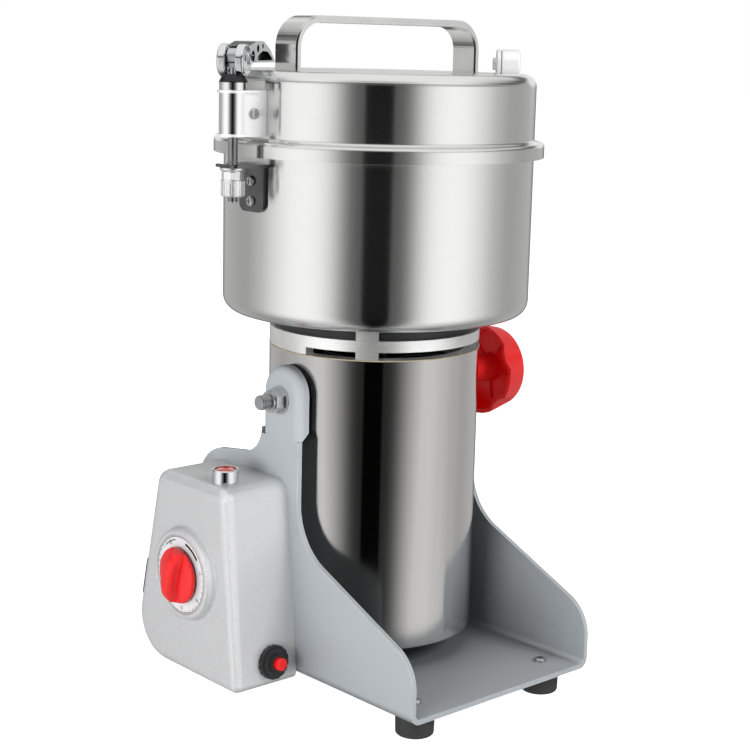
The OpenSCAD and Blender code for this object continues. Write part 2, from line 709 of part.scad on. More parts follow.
// Hollow knob with a lobed rim, its open side towards the stand
module tilt_knob() color("#dc2320") placed() translate([cheek_out, 0, pivot_z])
    rotate([0, 90, 0]) rotate(knob_lobe_at) {
        rim0 = tilt_knob_reach;
        rim1 = tilt_knob_reach + tilt_knob_h;
        difference() {
            union() {
                difference() {
                    translate([0, 0, rim0]) linear_extrude(tilt_knob_h)
                        lobed(tilt_knob_r, tilt_knob_lobes);
                    translate([0, 0, rim0 - 1]) intersection() {
                        linear_extrude(tilt_knob_h - 3.5) lobed(tilt_knob_r - 2.6, tilt_knob_lobes);
                        cylinder(r1 = tilt_knob_r - 1, r2 = tilt_knob_r - 2 - tilt_knob_taper,
                            h = tilt_knob_h);
                    }
                }
                translate([0, 0, rest]) cylinder(r1 = 8, r2 = 9.5, h = rim1 - 2 - rest);
                for (i = [0:tilt_knob_lobes - 1]) rotate(i * 360 / tilt_knob_lobes)
                    translate([7, -0.6, rim1 - 6]) cube([tilt_knob_r - 12 - tilt_knob_taper, 1.2, 4]);
            }
            translate([0, 0, -1]) cylinder(r = stud_r + run, h = rim1 - 5);
            difference() {
                translate([0, 0, rim0 - 1]) cylinder(r = tilt_knob_r + 5, h = tilt_knob_h + 2);
                translate([0, 0, rim0 - 2]) cylinder(r1 = tilt_knob_r + tilt_knob_taper / 8,
                    r2 = tilt_knob_r - tilt_knob_taper, h = tilt_knob_h + 2 + eps);
            }
        }
    }

knob_lobe_at = -6;

module lobed(r, n) difference() {
    circle(r = r, $fn = 96);
    for (i = [0:n - 1]) rotate((i + 0.5) * 360 / n) translate([r + 10.6, 0]) circle(r = 14);
}

// Bowl and its fittings

module grinding_bowl() color("#cfcfce") placed() difference() {
    rotate_extrude($fn = 128) polygon(rounded([[shaft_r + 3, bowl_z], [bowl_r, bowl_z],
        [bowl_r, rim_z], [bowl_r - bowl_t, rim_z], [bowl_r - bowl_t, bowl_floor],
        [shaft_r + 3, bowl_floor]], [0, bowl_fillet, 0, 0, bowl_fillet - bowl_t, 0], 12));
    for (a = bowl_screw_angles) rotate(a) translate([bowl_screw_circle, 0, bowl_z - 1])
        cylinder(r = 2.1, h = bowl_t + 2);
    for (z = bracket_screw_z) {
        translate([0, 0, z]) bar_x(bowl_r - 5, bowl_r + 5, 2.1);
        translate([0, catch_shift, z]) bar_x(-bowl_r - 5, -bowl_r + 5, 2.1);
    }
}

bowl_screw_angles = [0:90:270];
bowl_screw_circle = 38;

module bowl_screws() color("#c3c5c6") placed() for (a = bowl_screw_angles) rotate(a)
    translate([bowl_screw_circle, 0, bowl_floor]) pan_screw(3.8, 1.8, 2, bowl_floor - band_z - band_h - 1);

module shaft_seal() color("#2c2a29") placed() {
    tube(shaft_r + 3 - fit, shaft_r + run, bowl_z - 3, bowl_t + 3);
    tube(shaft_r + 7, shaft_r + run, bowl_floor, 4);
}

// Plate against the bowl's wall on +X with a level tab at its top, before any hole or slot
module wall_bracket(shift) difference() {
    union() {
        translate([0, shift, 0]) along_x(bowl_r - 3, bowl_r + tab_t) polygon(rounded([
            [-catch_w / 2, tab_top - catch_h], [catch_w / 2, tab_top - catch_h],
            [catch_w / 2, tab_top], [-catch_w / 2, tab_top]], [5, 5, 1, 1], 8));
        translate([0, 0, tab_top - tab_t]) linear_extrude(tab_t) polygon(rounded([
            [bowl_r - 3, -tab_w / 2], [clamp_x + tab_out, -tab_w / 2],
            [clamp_x + tab_out, tab_w / 2], [bowl_r - 3, tab_w / 2]], [0, 4, 4, 0], 8));
    }
    translate([0, 0, tab_top - catch_h - 1]) cylinder(r = bowl_r + fit, h = catch_h + 2, $fn = 128);
    for (z = bracket_screw_z) translate([0, shift, z]) bar_x(bowl_r - 5, bowl_r + 5, 2.1);
}

bracket_screw_z = [tab_top - 10, tab_top - 21.4];

module catch_plate() color("#b4b6b7") placed() mirror([1, 0, 0]) difference() {
    wall_bracket(catch_shift);
    translate([clamp_x, 0, tab_top - tab_t - 1]) cylinder(r = rod_r + slot_gap, h = tab_t + 2);
    translate([clamp_x - rod_r - slot_gap, 0, tab_top - tab_t - 1])
        cube([2 * (rod_r + slot_gap), tab_w, tab_t + 2]);
}

module post_bracket() color("#b4b6b7") placed() difference() {
    wall_bracket(0);
    translate([clamp_x, 0, tab_top - tab_t - 1]) cylinder(r = post_r, h = tab_t + 2);
}

module bracket_screws() color("#d2d4d5") placed() for (z = bracket_screw_z) {
    translate([bowl_r + tab_t, 0, z]) rotate([0, 90, 0]) pan_screw(screw_head_r, screw_head_h, 2, 3.3);
    translate([-bowl_r - tab_t, catch_shift, z]) rotate([0, -90, 0])
        pan_screw(screw_head_r, screw_head_h, 2, 3.3);
}

module pivot_post() color("#cdcfd0") placed() translate([clamp_x, 0, 0]) {
    difference() {
        translate([0, 0, tab_top - tab_t - 3]) cylinder(r = post_r, h = cam_z - tab_top + tab_t);
    }
    tube(post_r + 2.6, post_r, tab_top, 3);
    translate([0, 0, tab_top - tab_t - 5]) cylinder(r = 5.5, h = 5, $fn = 6);
    translate([0, 0, sleeve_top + rest]) rotate_extrude() polygon([[post_r, 0], [sleeve_r, 0],
        [sleeve_r, 4], [sleeve_r - 1.6, saddle_h - 0.2], [post_r, saddle_h - 0.2]]);
}

module pivot_head() color("#d6d8d9") placed() translate([clamp_x, 0, cam_z])
    rotate(-head_turn) difference() {
        union() {
            rotate([0, 90, 0]) translate([0, 0, -head_barrel_l / 2 + head_plate_t + 0.6])
                rotate_extrude() polygon(rounded([[0, 0], [cam_r, 0],
                [cam_r, head_barrel_l - head_plate_t - 0.6], [0, head_barrel_l - head_plate_t - 0.6]],
                [0, 1.2, 1.8, 0], 6));
            bar_x(-head_barrel_l / 2, -head_barrel_l / 2 + head_plate_t, cam_r);
            bar_x(-head_barrel_l / 2 - head_pin_t, 0, head_pin_r);
        }
        translate([0, 0, -cam_r - 1]) cylinder(r = post_r, h = cam_r - 2);
    }

// Rotor

module motor_shaft() color("#bfc1c2") placed() difference() {
    union() {
        translate([0, 0, low_bearing_z - 1.5]) cylinder(r = shaft_r, h = hub_z - low_bearing_z);
        translate([0, 0, hub_z - 2]) cylinder(r = shaft_r - 1, h = blade_top - hub_z + 16);
    }
    translate([0, 0, blade_top + 12]) tube(shaft_r + 1, shaft_r - 1.8, 0, 3);
}

blade_z = [hub_z + 3, hub_z + 3 + blade_t + spacer_h, hub_z + 3 + 2 * (blade_t + spacer_h)];
blade_top = blade_z[2] + blade_t;

module armature_core() color("#6f7174") placed() difference() {
    tube(armature_r, shaft_r, core_z, core_h);
    for (i = [0:11]) rotate(i * 30) translate([armature_r - 8, -1.2, core_z - 1])
        cube([10, 2.4, core_h + 2]);
}

module armature_winding() color("#b4622f") placed() {
    for (s = [0, 1]) translate([0, 0, s == 0 ? core_z : core_z + core_h]) mirror([0, 0, 1 - s])
        rotate_extrude() polygon(rounded([[shaft_r + fit, 0], [armature_r - 1, 0],
            [armature_r - 4, winding_h], [shaft_r + fit, winding_h]], [0, 0, 4, 3], 6));
}

module commutator() color("#b8703a") placed() difference() {
    tube(commutator_r, shaft_r, commutator_z, commutator_h + 17 - winding_h);
    for (i = [0:23]) rotate(i * 15) translate([13, -0.4, commutator_z - 1]) cube([2, 0.8, commutator_h]);
}

module cooling_fan() color("#55585a") placed() {
    tube(12, shaft_r, fan_z, fan_h - 3);
    tube(fan_r, 11, fan_z, 2);
    for (i = [0:11]) rotate(i * 30) ring_blade();
}

// One curved vane of the cooling fan
module ring_blade() translate([0, 0, fan_z + 1]) linear_extrude(fan_h - 5) intersection() {
    translate([fan_r * 0.62, -fan_r * 0.42]) difference() {
        circle(r = fan_r * 0.5);
        circle(r = fan_r * 0.5 - 2);
    }
    difference() {
        circle(r = fan_r - 0.5);
        circle(r = fan_r * 0.38);
        translate([-fan_r, -fan_r]) square([2 * fan_r, fan_r * 0.89]);
    }
}

// Two-armed knife: each arm has a swept back edge and a ground front edge
module knife(reach, width, lift) difference() {
    union() {
        for (a = [0, 180]) rotate(a) rotate([lift, 0, 0]) difference() {
            linear_extrude(blade_t) polygon(rounded([[0, -width / 2], [reach * 0.55, -width * 0.45],
                [reach, -width * 0.12], [reach * 0.97, width * 0.26], [reach * 0.5, width * 0.5],
                [0, width / 2]], [0, reach * 0.5, 3, 3, reach * 0.4, 0], 8));
            translate([14, width * 0.5, blade_t * 0.35]) rotate([22, 0, -atan(0.24 * width / reach) * 2])
                cube([reach, width, 5 * blade_t]);
        }
        cylinder(r = 11, h = blade_t);
    }
    translate([0, 0, -10]) cylinder(r = shaft_r - 1 + fit, h = 30);
}

module lower_blade() color("#cfd1d2") placed() translate([0, 0, blade_z[0]])
    knife(lower_blade_l, 26, 0);
module middle_blade() color("#cfd1d2") placed() translate([0, 0, blade_z[1]]) rotate(60)
    knife(middle_blade_l, 22, 0);
module upper_blade() color("#cfd1d2") placed() translate([0, 0, blade_z[2]]) rotate(120)
    knife(upper_blade_l, 18, 0);

module blade_spacers() color("#b9bbbc") placed() {
    tube(11, shaft_r - 1 + fit, hub_z, 3);
    for (i = [0, 1]) tube(9, shaft_r - 1 + fit, blade_z[i] + blade_t, spacer_h);
}

module blade_nut() color("#c3c5c6") placed() translate([0, 0, blade_top]) difference() {
    union() {
        cylinder(r = 10.5, h = 1.5);
        translate([0, 0, 1.4]) intersection() {
            cylinder(r = 10, h = 8, $fn = 6);
            cylinder(r1 = 12.4, r2 = 9.2, h = 8);
        }
    }
    translate([0, 0, -1]) cylinder(r = shaft_r - 1 + eps, h = 12);
}

// Lid

module lid_shell() color("#cdcdcc") placed() rotate_extrude($fn = 128) polygon(concat(
    rounded([[0, lid_top - lid_t], [bowl_r - lid_t, lid_top - lid_t], [bowl_r - lid_t, skirt_z - lid_t],
        [skirt_r - lid_t, skirt_z - lid_t], [skirt_r - lid_t, lid_z], [skirt_r, lid_z],
        [skirt_r, skirt_z], [bowl_r, skirt_z + 0.8], [bowl_r, lid_top], [0, lid_top]],
        [0, lid_fillet - lid_t, 1, 1.2, 0, 0, 2.4, 2, lid_fillet, 0], 10)));

module lid_gasket() color("#d8d8d4") placed() rotate_extrude($fn = 128) polygon(rounded([
    [bowl_r - bowl_t - 2, lid_z], [skirt_r - lid_t - fit, lid_z],
    [skirt_r - lid_t - fit, skirt_z - lid_t - fit], [bowl_r - lid_t + fit, skirt_z - lid_t - fit],
    [bowl_r - bowl_t - 2, lid_z + 3]], [1, 0, 1.4, 0, 1], 5));

module lid_handle() color("#d4d5d5") placed() {
    half = handle_span / 2 + handle_t / 2;
    bar = rounded([[-half, lid_top], [-half, lid_top + handle_h], [half, lid_top + handle_h],
        [half, lid_top], [half - handle_t, lid_top], [half - handle_t, lid_top + handle_h - handle_t],
        [-half + handle_t, lid_top + handle_h - handle_t], [-half + handle_t, lid_top]],
        [0, handle_bend, handle_bend, 0, 0, handle_bend - handle_t, handle_bend - handle_t, 0], 16);
    along_y(-handle_w / 2 + 1, handle_w / 2 - 1) polygon(bar);
    edge = 0.9;
    thin = rounded([[-half + edge, lid_top], [-half + edge, lid_top + handle_h - edge],
        [half - edge, lid_top + handle_h - edge], [half - edge, lid_top],
        [half - handle_t + edge, lid_top],
        [half - handle_t + edge, lid_top + handle_h - handle_t + edge],
        [-half + handle_t - edge, lid_top + handle_h - handle_t + edge],
        [-half + handle_t - edge, lid_top]],
        [0, handle_bend - edge, handle_bend - edge, 0, 0, handle_bend - handle_t + edge,
        handle_bend - handle_t + edge, 0], 16);
    along_y(-handle_w / 2, handle_w / 2) polygon(thin);
}

// Sleeve on the lid's wall on +X: a bored barrel with flat cheeks and a plate above and below
module wall_sleeve(bore) difference() {
    union() {
        translate([clamp_x, 0, sleeve_z]) cylinder(r = sleeve_r, h = sleeve_h);
        translate([bowl_r - 4, -sleeve_r, sleeve_z]) cube([clamp_x - bowl_r + 4, 2 * sleeve_r, sleeve_h]);
        for (z = [sleeve_z, sleeve_top - flange_t]) translate([0, 0, z]) linear_extrude(flange_t) {
            translate([clamp_x, 0]) circle(r = flange_r);
            translate([bowl_r + 5.5, -flange_r]) square([clamp_reach - 5.5, 2 * flange_r]);
        }
    }
    translate([0, 0, sleeve_z - 1]) cylinder(r = bowl_r + 0.05, h = sleeve_h + 2, $fn = 128);
    translate([clamp_x, 0, sleeve_z - 1]) cylinder(r = bore, h = sleeve_h + 2);
    translate([sleeve_screw_x, 0, sleeve_screw_z]) rotate([90, 0, 0])
        cylinder(r = 1.6, h = 2 * sleeve_r + 2, center = true);
}

sleeve_screw_x = clamp_x - 8;
sleeve_screw_z = sleeve_z + sleeve_h / 2;

module clamp_bracket() color("#d9dadb") placed() mirror([1, 0, 0]) wall_sleeve(rod_r + 0.4);
module pivot_sleeve() color("#d9dadb") placed() wall_sleeve(post_r + run);

module lid_screws() color("#c9cbcc") placed() for (side = [-1, 1])
    translate([side * sleeve_screw_x, -sleeve_r, sleeve_screw_z]) rotate([90, 0, 0])
        pan_screw(screw_head_r, screw_head_h, 1.6, sleeve_r);

// Cam clamp

module at_rod() placed() translate([-clamp_x, 0, 0]) children();
module at_cam() at_rod() translate([0, 0, cam_pin_z]) rotate(lever_turn) children();

module clamp_saddle() color("#4d4f52") at_rod() difference() {
    translate([0, 0, saddle_z]) rotate_extrude() polygon([[0, 0], [sleeve_r, 0],
        [sleeve_r, saddle_h * 0.72], [sleeve_r - 2.1, saddle_h + saddle_rim],
        [0, saddle_h + saddle_rim]]);
    translate([0, 0, saddle_z - 1]) cylinder(r = rod_r + run, h = saddle_h + saddle_rim + 2);
    translate([0, 0, saddle_top + trough_r]) rotate(lever_turn)
        translate([cam_throw * (1 + sin(cam_lead)) / 2, 0, 0]) rotate([90, 0, 0])
            cylinder(r = trough_r, h = 4 * sleeve_r, center = true, $fn = 96);
}

module clamp_rod() color("#c6c8c9") at_rod() difference() {
    union() {
        translate([0, 0, rod_end]) cylinder(r = rod_r, h = cam_pin_z - 2 - rod_end);
        translate([0, 0, cam_pin_z]) rotate(lever_turn) rotate([90, 0, 0])
            cylinder(r = 4.6, h = cam_slot - 1, center = true);
        translate([0, 0, cam_pin_z - 5.8]) rotate(lever_turn)
            translate([-3, -cam_slot / 2 + 0.5, 0]) cube([6, cam_slot - 1, 4]);
    }
    translate([0, 0, cam_pin_z]) rotate(lever_turn) rotate([90, 0, 0])
        cylinder(r = cam_pin_r + eps, h = cam_w, center = true);
}

module cam_pin() color("#bfc1c2") at_cam() rotate([90, 0, 0]) {
    cylinder(r = cam_pin_r, h = cam_w + 1.4, center = true);
    for (s = [0, 1]) mirror([0, 0, s]) translate([0, 0, cam_w / 2 - cam_dish + rest])
        rotate_extrude() polygon(rounded([[0, 0], [2.6, 0], [2.6, 1.3], [0, 1.9]],
            [0, 0, 0.6, 0], 4));
}

// Lever outline, seen along the pin: along the arm and up, from the pin
lever_top = cam_r - cam_throw * cos(cam_lead) + 1.8;
lever_low = -3.2;
lever_pts = [[-1, lever_top * 0.5], [lever_l * 0.16, lever_top * 0.7], [lever_l * 0.4, lever_top],
    [lever_l * 0.6, lever_top], [lever_l * 0.82, lever_top * 0.45], [lever_l, lever_low],
    [lever_l * 0.4, lever_low], [lever_l * 0.31, -2.2], [lever_l * 0.22, -4.4], [6, -5]];
pocket_pts = [[lever_l * 0.345, -2.1], [lever_l * 0.44, 1.2], [lever_l * 0.58, 3.3],
    [lever_l * 0.74, 2.7], [lever_l * 0.85, 0], [lever_l * 0.94, -2.1]];
cam_dish = 1;

module cam_lever() color("#d3d5d6") at_cam() difference() {
    union() {
        translate([cam_throw * sin(cam_lead), 0, -cam_throw * cos(cam_lead)]) rotate([90, 0, 0])
            for (s = [0, 1]) mirror([0, 0, s]) translate([0, 0, cam_slot / 2]) rotate_extrude()
                polygon(rounded([[0, 0], [cam_r, 0], [cam_r, cam_cheek], [cam_r * 0.56, cam_cheek],
                    [cam_r * 0.56, cam_cheek - cam_dish], [0, cam_cheek - cam_dish]],
                    [0, 0.6, 1.3, 0.4, 0, 0], 5));
        along_y(-lever_w / 2, lever_w / 2)
            polygon(rounded(lever_pts, [2, 20, 30, 20, 20, 0.8, 10, 3, 3, 1], 8));
    }
    rotate([90, 0, 0]) cylinder(r = cam_pin_r + run, h = cam_w + 4, center = true);
    for (s = [0, 1]) mirror([0, s, 0]) translate([0, cam_w / 2 - cam_dish, 0]) rotate([-90, 0, 0])
        cylinder(r = 3, h = 6);
    translate([-20, -cam_slot / 2, -20]) cube([20 + 8.4, cam_slot, 60]);
    for (s = [0, 1]) mirror([0, s, 0]) {
        along_y(2, lever_w) polygon(rounded(pocket_pts, [0.7, 4, 5, 5, 4, 0.7], 6));
        for (q = [[0.26, 0.4, 3.1], [0.415, 4.5, 2.2], [0.575, 5.9, 1.4]])
            translate([lever_l * q.x, 2.4, q.y]) rotate([-90, 0, 0]) cylinder(r = q.z, h = lever_w);
    }
}

module knurled_nut() color("#cbcdce") at_rod() translate([0, 0, nut_top - nut_h]) difference() {
    rotate_extrude() polygon(rounded([[0, 0], [nut_r - 0.2, 0], [nut_r - 0.2, nut_h * 0.56],
        [nut_r - 0.7, nut_h * 0.6], [nut_r - 0.7, nut_h - 2], [nut_r + 0.4, nut_h - 0.9],
        [nut_r + 0.4, nut_h], [0, nut_h]], [0, 1.2, 0, 0, 0, 0, 0, 0], 4));
    translate([0, 0, -1]) cylinder(r = rod_r + run, h = nut_h + 2);
    for (i = [0:29]) rotate(i * 12) translate([nut_r, 0, 1]) cylinder(r = 0.4, h = nut_h * 0.55 - 1);
    for (i = [0:7]) rotate(i * 45 + 22.5) translate([nut_r - 1.15, -4, nut_h * 0.62])
        cube([4, 8, nut_h * 0.38 - 2.4]);
}

stand_frame();
rubber_feet();
foot_screws();
control_box();
box_screws();
lamp_bezel();
lamp_lens();
dial_plate();
timer_body();
breaker_body();
breaker_nut();
mains_inlet();
inlet_pins();
timer_knob();
reset_button();
motor_shell();
end_ring();
bowl_gasket();
top_bearing();
stator_core();
field_coils();
brush_holders();
carbon_brushes();
lower_bracket();
bottom_bearing();
bottom_cover();
cover_screws();
trunnion_bosses();
trunnion_studs();
pivot_nut();
grinding_bowl();
bowl_screws();
shaft_seal();
catch_plate();
post_bracket();
bracket_screws();
pivot_post();
pivot_head();
motor_shaft();
armature_core();
armature_winding();
commutator();
cooling_fan();
lower_blade();
middle_blade();
upper_blade();
blade_spacers();
blade_nut();
tilt_knob();
lid_shell();
lid_gasket();
lid_handle();
clamp_bracket();
pivot_sleeve();
lid_screws();
clamp_saddle();
clamp_rod();
cam_pin();
cam_lever();
knurled_nut();
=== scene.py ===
import json
import math

import bmesh
import bpy
from mathutils import Matrix, Vector


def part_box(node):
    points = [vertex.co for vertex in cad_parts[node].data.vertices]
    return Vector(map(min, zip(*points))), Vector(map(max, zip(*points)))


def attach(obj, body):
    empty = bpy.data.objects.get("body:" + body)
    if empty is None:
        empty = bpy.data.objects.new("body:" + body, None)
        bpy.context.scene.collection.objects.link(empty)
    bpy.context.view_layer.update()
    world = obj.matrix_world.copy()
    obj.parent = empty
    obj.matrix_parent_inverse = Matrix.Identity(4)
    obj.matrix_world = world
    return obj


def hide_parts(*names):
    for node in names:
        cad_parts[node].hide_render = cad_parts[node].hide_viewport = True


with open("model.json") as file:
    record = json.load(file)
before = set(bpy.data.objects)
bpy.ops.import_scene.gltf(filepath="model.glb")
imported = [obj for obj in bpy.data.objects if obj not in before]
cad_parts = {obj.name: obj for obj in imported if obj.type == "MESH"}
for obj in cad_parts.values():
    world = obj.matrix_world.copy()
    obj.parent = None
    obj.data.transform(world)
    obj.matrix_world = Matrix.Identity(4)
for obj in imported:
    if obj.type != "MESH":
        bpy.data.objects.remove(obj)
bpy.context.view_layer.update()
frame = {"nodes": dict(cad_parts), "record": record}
cad = frame["nodes"]
print("frame loaded,", len(cad), "nodes")


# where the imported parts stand, so that every new piece can be built in millimetres round the motor axis

def middleOf(node):
    low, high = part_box(node)
    return (low + high) / 2


axisAt = Vector((middleOf("grinding_bowl").x, middleOf("grinding_bowl").y, 0))
toFrame = Matrix.Translation(axisAt) @ Matrix.Scale(0.001, 4)


# camera

viewpoint = {
    "place": (-676.9, -742.4, 386.8),  # millimetres from the motor axis
    "turn": -42.41,  # degrees, like down and roll
    "down": 11.29,
    "roll": 1.37,
    "lens": 80.0,
    "sensor": 36,
    "clip": (0.05, 30),  # metres
}


def addCamera():
    data = bpy.data.cameras.new("photoCamera")
    data.lens = viewpoint["lens"]
    data.sensor_width = viewpoint["sensor"]
    data.clip_start, data.clip_end = viewpoint["clip"]
    cam = bpy.data.objects.new("photoCamera", data)
    bpy.context.scene.collection.objects.link(cam)
    aim = (Matrix.Rotation(math.radians(viewpoint["turn"]), 4, "Z")
           @ Matrix.Rotation(math.radians(90 - viewpoint["down"]), 4, "X")
           @ Matrix.Rotation(math.radians(viewpoint["roll"]), 4, "Z"))
    cam.matrix_world = Matrix.Translation(toFrame @ Vector(viewpoint["place"])) @ aim
    bpy.context.scene.camera = cam


addCamera()
bpy.context.scene.view_settings.view_transform = "Standard"
print("camera placed")


# node helpers

def nodeAt(tree, kind, x, y, **settings):
    node = tree.nodes.new(kind)
    node.location = (x, y)
    for key, value in settings.items():
        setattr(node, key, value)
    return node


def feed(tree, socket, value):
    # links a socket, or sets a number, a vector or a colour without its alpha
    if isinstance(value, bpy.types.NodeSocket):
        tree.links.new(value, socket)
    elif isinstance(value, tuple) and len(value) < len(socket.default_value):
        socket.default_value = (*value, 1)
    else:
        socket.default_value = value


def sums(tree, operation, x, y, *values):
    node = nodeAt(tree, "ShaderNodeMath", x, y, operation=operation)
    for socket, value in zip(node.inputs, values):
        feed(tree, socket, value)
    return node.outputs[0]


def vectorSums(tree, operation, x, y, *values):
    node = nodeAt(tree, "ShaderNodeVectorMath", x, y, operation=operation)
    sockets = [node.inputs[0], node.inputs["Scale"]] if operation == "SCALE" else node.inputs
    for socket, value in zip(sockets, values):
        feed(tree, socket, value)
    return node.outputs["Value" if operation in ("LENGTH", "DOT_PRODUCT") else "Vector"]


def splitOf(tree, vector, x, y):
    node = nodeAt(tree, "ShaderNodeSeparateXYZ", x, y)
    tree.links.new(vector, node.inputs[0])
    return node.outputs


def spread(tree, value, low, high, x, y, fromLow=0.0, fromHigh=1.0, curve="LINEAR"):
    node = nodeAt(tree, "ShaderNodeMapRange", x, y, interpolation_type=curve)
    node.inputs["From Min"].default_value = fromLow
    node.inputs["From Max"].default_value = fromHigh
    node.inputs["To Min"].default_value = low
    node.inputs["To Max"].default_value = high
    tree.links.new(value, node.inputs["Value"])
    return node.outputs["Result"]


def greyRamp(tree, value, stops, x, y):
    node = nodeAt(tree, "ShaderNodeValToRGB", x, y)
    ramp = node.color_ramp
    while len(ramp.elements) < len(stops):
        ramp.elements.new(0.5)
    for element, (place, level) in zip(ramp.elements, stops):
        element.position = place
        element.color = (level, level, level, 1)
    tree.links.new(value, node.inputs["Fac"])
    return node.outputs["Color"]


def blendColours(tree, mask, first, second, x, y, blend="MIX"):
    node = nodeAt(tree, "ShaderNodeMix", x, y, data_type="RGBA", blend_type=blend)
    feed(tree, node.inputs["A"], first)
    feed(tree, node.inputs["B"], second)
    feed(tree, node.inputs["Factor"], mask)
    return node.outputs["Result"]


def noiseOf(tree, vector, x, y, scale, detail, distortion=0.0):
    node = nodeAt(tree, "ShaderNodeTexNoise", x, y)
    for label, value in (("Vector", vector), ("Scale", scale), ("Detail", detail), ("Distortion", distortion)):
        feed(tree, node.inputs[label], value)
    return node.outputs["Fac"]


# studio: white sweep, soft lamps and a metal surround of bright panels with one dark gap at the camera

studio = {
    "faces": (-0.6738, -0.7389),  # level direction of the dark gap, from the grinder
    "fill": 0.78,
    "panels": 1.15,
    "farSide": 0.8,  # share of the half turn from the dark gap, beyond which the far sky starts
    "farSky": (0.72, 0.72, 0.72),
    "horizon": (-0.04, 0.08),  # sine of the heights over which the far sky comes in
    "roof": (0.8, 0.8, 0.8),
    "roofFrom": (0.45, 0.85),  # sine of the heights over which the roof comes in
    "sweepGlow": 0.92,  # seen by the camera alone
    "sweepReach": 14,  # metres
    "lampAim": (0, 0, 200),  # lamps are in millimetres from the motor axis
    "key": {"place": (-1900, -700, 420), "size": 1000, "power": 34},
    "front": {"place": (500, -1700, 1400), "size": 900, "power": 27},
    "top": {"place": (0, 0, 2100), "size": 1500, "power": 4},
}

# how bright the surround is, from the dark gap (0) round to the far side (1)
surroundStops = [(0.0, 0.005), (0.052, 0.005), (0.062, 0.09), (0.081, 0.1), (0.105, 0.145), (0.129, 0.25),
                 (0.154, 0.42), (0.178, 0.6), (0.203, 0.75), (0.229, 0.86), (0.26, 0.93), (0.308, 0.96),
                 (0.364, 0.93), (0.393, 0.87), (0.455, 0.71), (0.524, 0.49), (0.604, 0.36), (0.66, 0.345),
                 (0.77, 0.39), (0.86, 0.4), (0.93, 0.12), (1.0, 0.1)]

# how much of the bands is left at each height, from straight down (0) through level (0.5) to straight up (1)
tierStops = [(0.0, 0.5), (0.25, 1.0), (0.62, 1.0), (0.66, 0.2), (0.7, 0.2), (0.76, 1.0)]

# how much diffuse fill comes from each height
fillStops = [(0.0, 0.8), (0.42, 1.0), (0.56, 0.9), (0.75, 0.18), (1.0, 0.08)]


def studioWorld():
    world = bpy.data.worlds.new("studio")
    bpy.context.scene.world = world
    world.use_nodes = True
    tree = world.node_tree
    tree.nodes.clear()
    direction = nodeAt(tree, "ShaderNodeTexCoord", -1400, 0).outputs["Generated"]
    level = vectorSums(tree, "NORMALIZE", -1040, 0, vectorSums(tree, "MULTIPLY", -1200, 0, direction, (1, 1, 0)))
    turn = sums(tree, "ARCCOSINE", -720, 0, vectorSums(tree, "DOT_PRODUCT", -880, 0, level, (*studio["faces"], 0)))
    around = sums(tree, "DIVIDE", -560, 0, turn, math.pi)
    upward = splitOf(tree, direction, -1200, -260)["Z"]
    height = spread(tree, upward, 0, 1, -1000, -420, -1, 1)

    # what polished metal mirrors
    aboveLevel = spread(tree, upward, 0, 1, -760, -1000, *studio["horizon"], "SMOOTHSTEP")
    farMask = sums(tree, "MULTIPLY", -460, -980, sums(tree, "GREATER_THAN", -560, -880, around, studio["farSide"]),
                   aboveLevel)
    panels = blendColours(tree, farMask, greyRamp(tree, around, surroundStops, -400, 0), studio["farSky"], -360, -300)
    tiers = greyRamp(tree, height, tierStops, -760, -480)
    banded = blendColours(tree, 1, panels, tiers, -220, -200, "MULTIPLY")
    roofMask = spread(tree, upward, 0, 1, -560, -260, *studio["roofFrom"], "SMOOTHSTEP")
    glossy = nodeAt(tree, "ShaderNodeBackground", 120, -60)
    feed(tree, glossy.inputs["Color"], blendColours(tree, roofMask, banded, studio["roof"], -100, -60))
    feed(tree, glossy.inputs["Strength"], studio["panels"])

    # what lights the rest, and the white that the camera sees
    fill = nodeAt(tree, "ShaderNodeBackground", 120, 100)
    feed(tree, fill.inputs["Color"], greyRamp(tree, height, fillStops, -760, -760))
    feed(tree, fill.inputs["Strength"], studio["fill"])
    white = nodeAt(tree, "ShaderNodeBackground", 120, 260)
    feed(tree, white.inputs["Color"], (1, 1, 1))
    path = nodeAt(tree, "ShaderNodeLightPath", -400, 360).outputs
    seen = sums(tree, "MAXIMUM", 120, 420, path["Is Camera Ray"], path["Is Transmission Ray"])
    mixGlossy = nodeAt(tree, "ShaderNodeMixShader", 340, 60)
    mixSeen = nodeAt(tree, "ShaderNodeMixShader", 540, 160)
    for mix, values in ((mixGlossy, (path["Is Glossy Ray"], fill.outputs[0], glossy.outputs[0])),
                        (mixSeen, (seen, mixGlossy.outputs[0], white.outputs[0]))):
        for socket, value in zip(mix.inputs, values):
            tree.links.new(value, socket)
    tree.links.new(mixSeen.outputs[0], nodeAt(tree, "ShaderNodeOutputWorld", 740, 160).inputs["Surface"])


def addLamp(name, spec):
    data = bpy.data.lights.new(name, "AREA")
    data.shape = "DISK"
    data.size = spec["size"] / 1000
    data.energy = spec["power"]
    lamp = bpy.data.objects.new(name, data)
    bpy.context.scene.collection.objects.link(lamp)
    place = toFrame @ Vector(spec["place"])
    aim = toFrame @ Vector(studio["lampAim"]) - place
    lamp.matrix_world = Matrix.Translation(place) @ aim.to_track_quat("-Z", "Y").to_matrix().to_4x4()
    lamp.visible_glossy = False


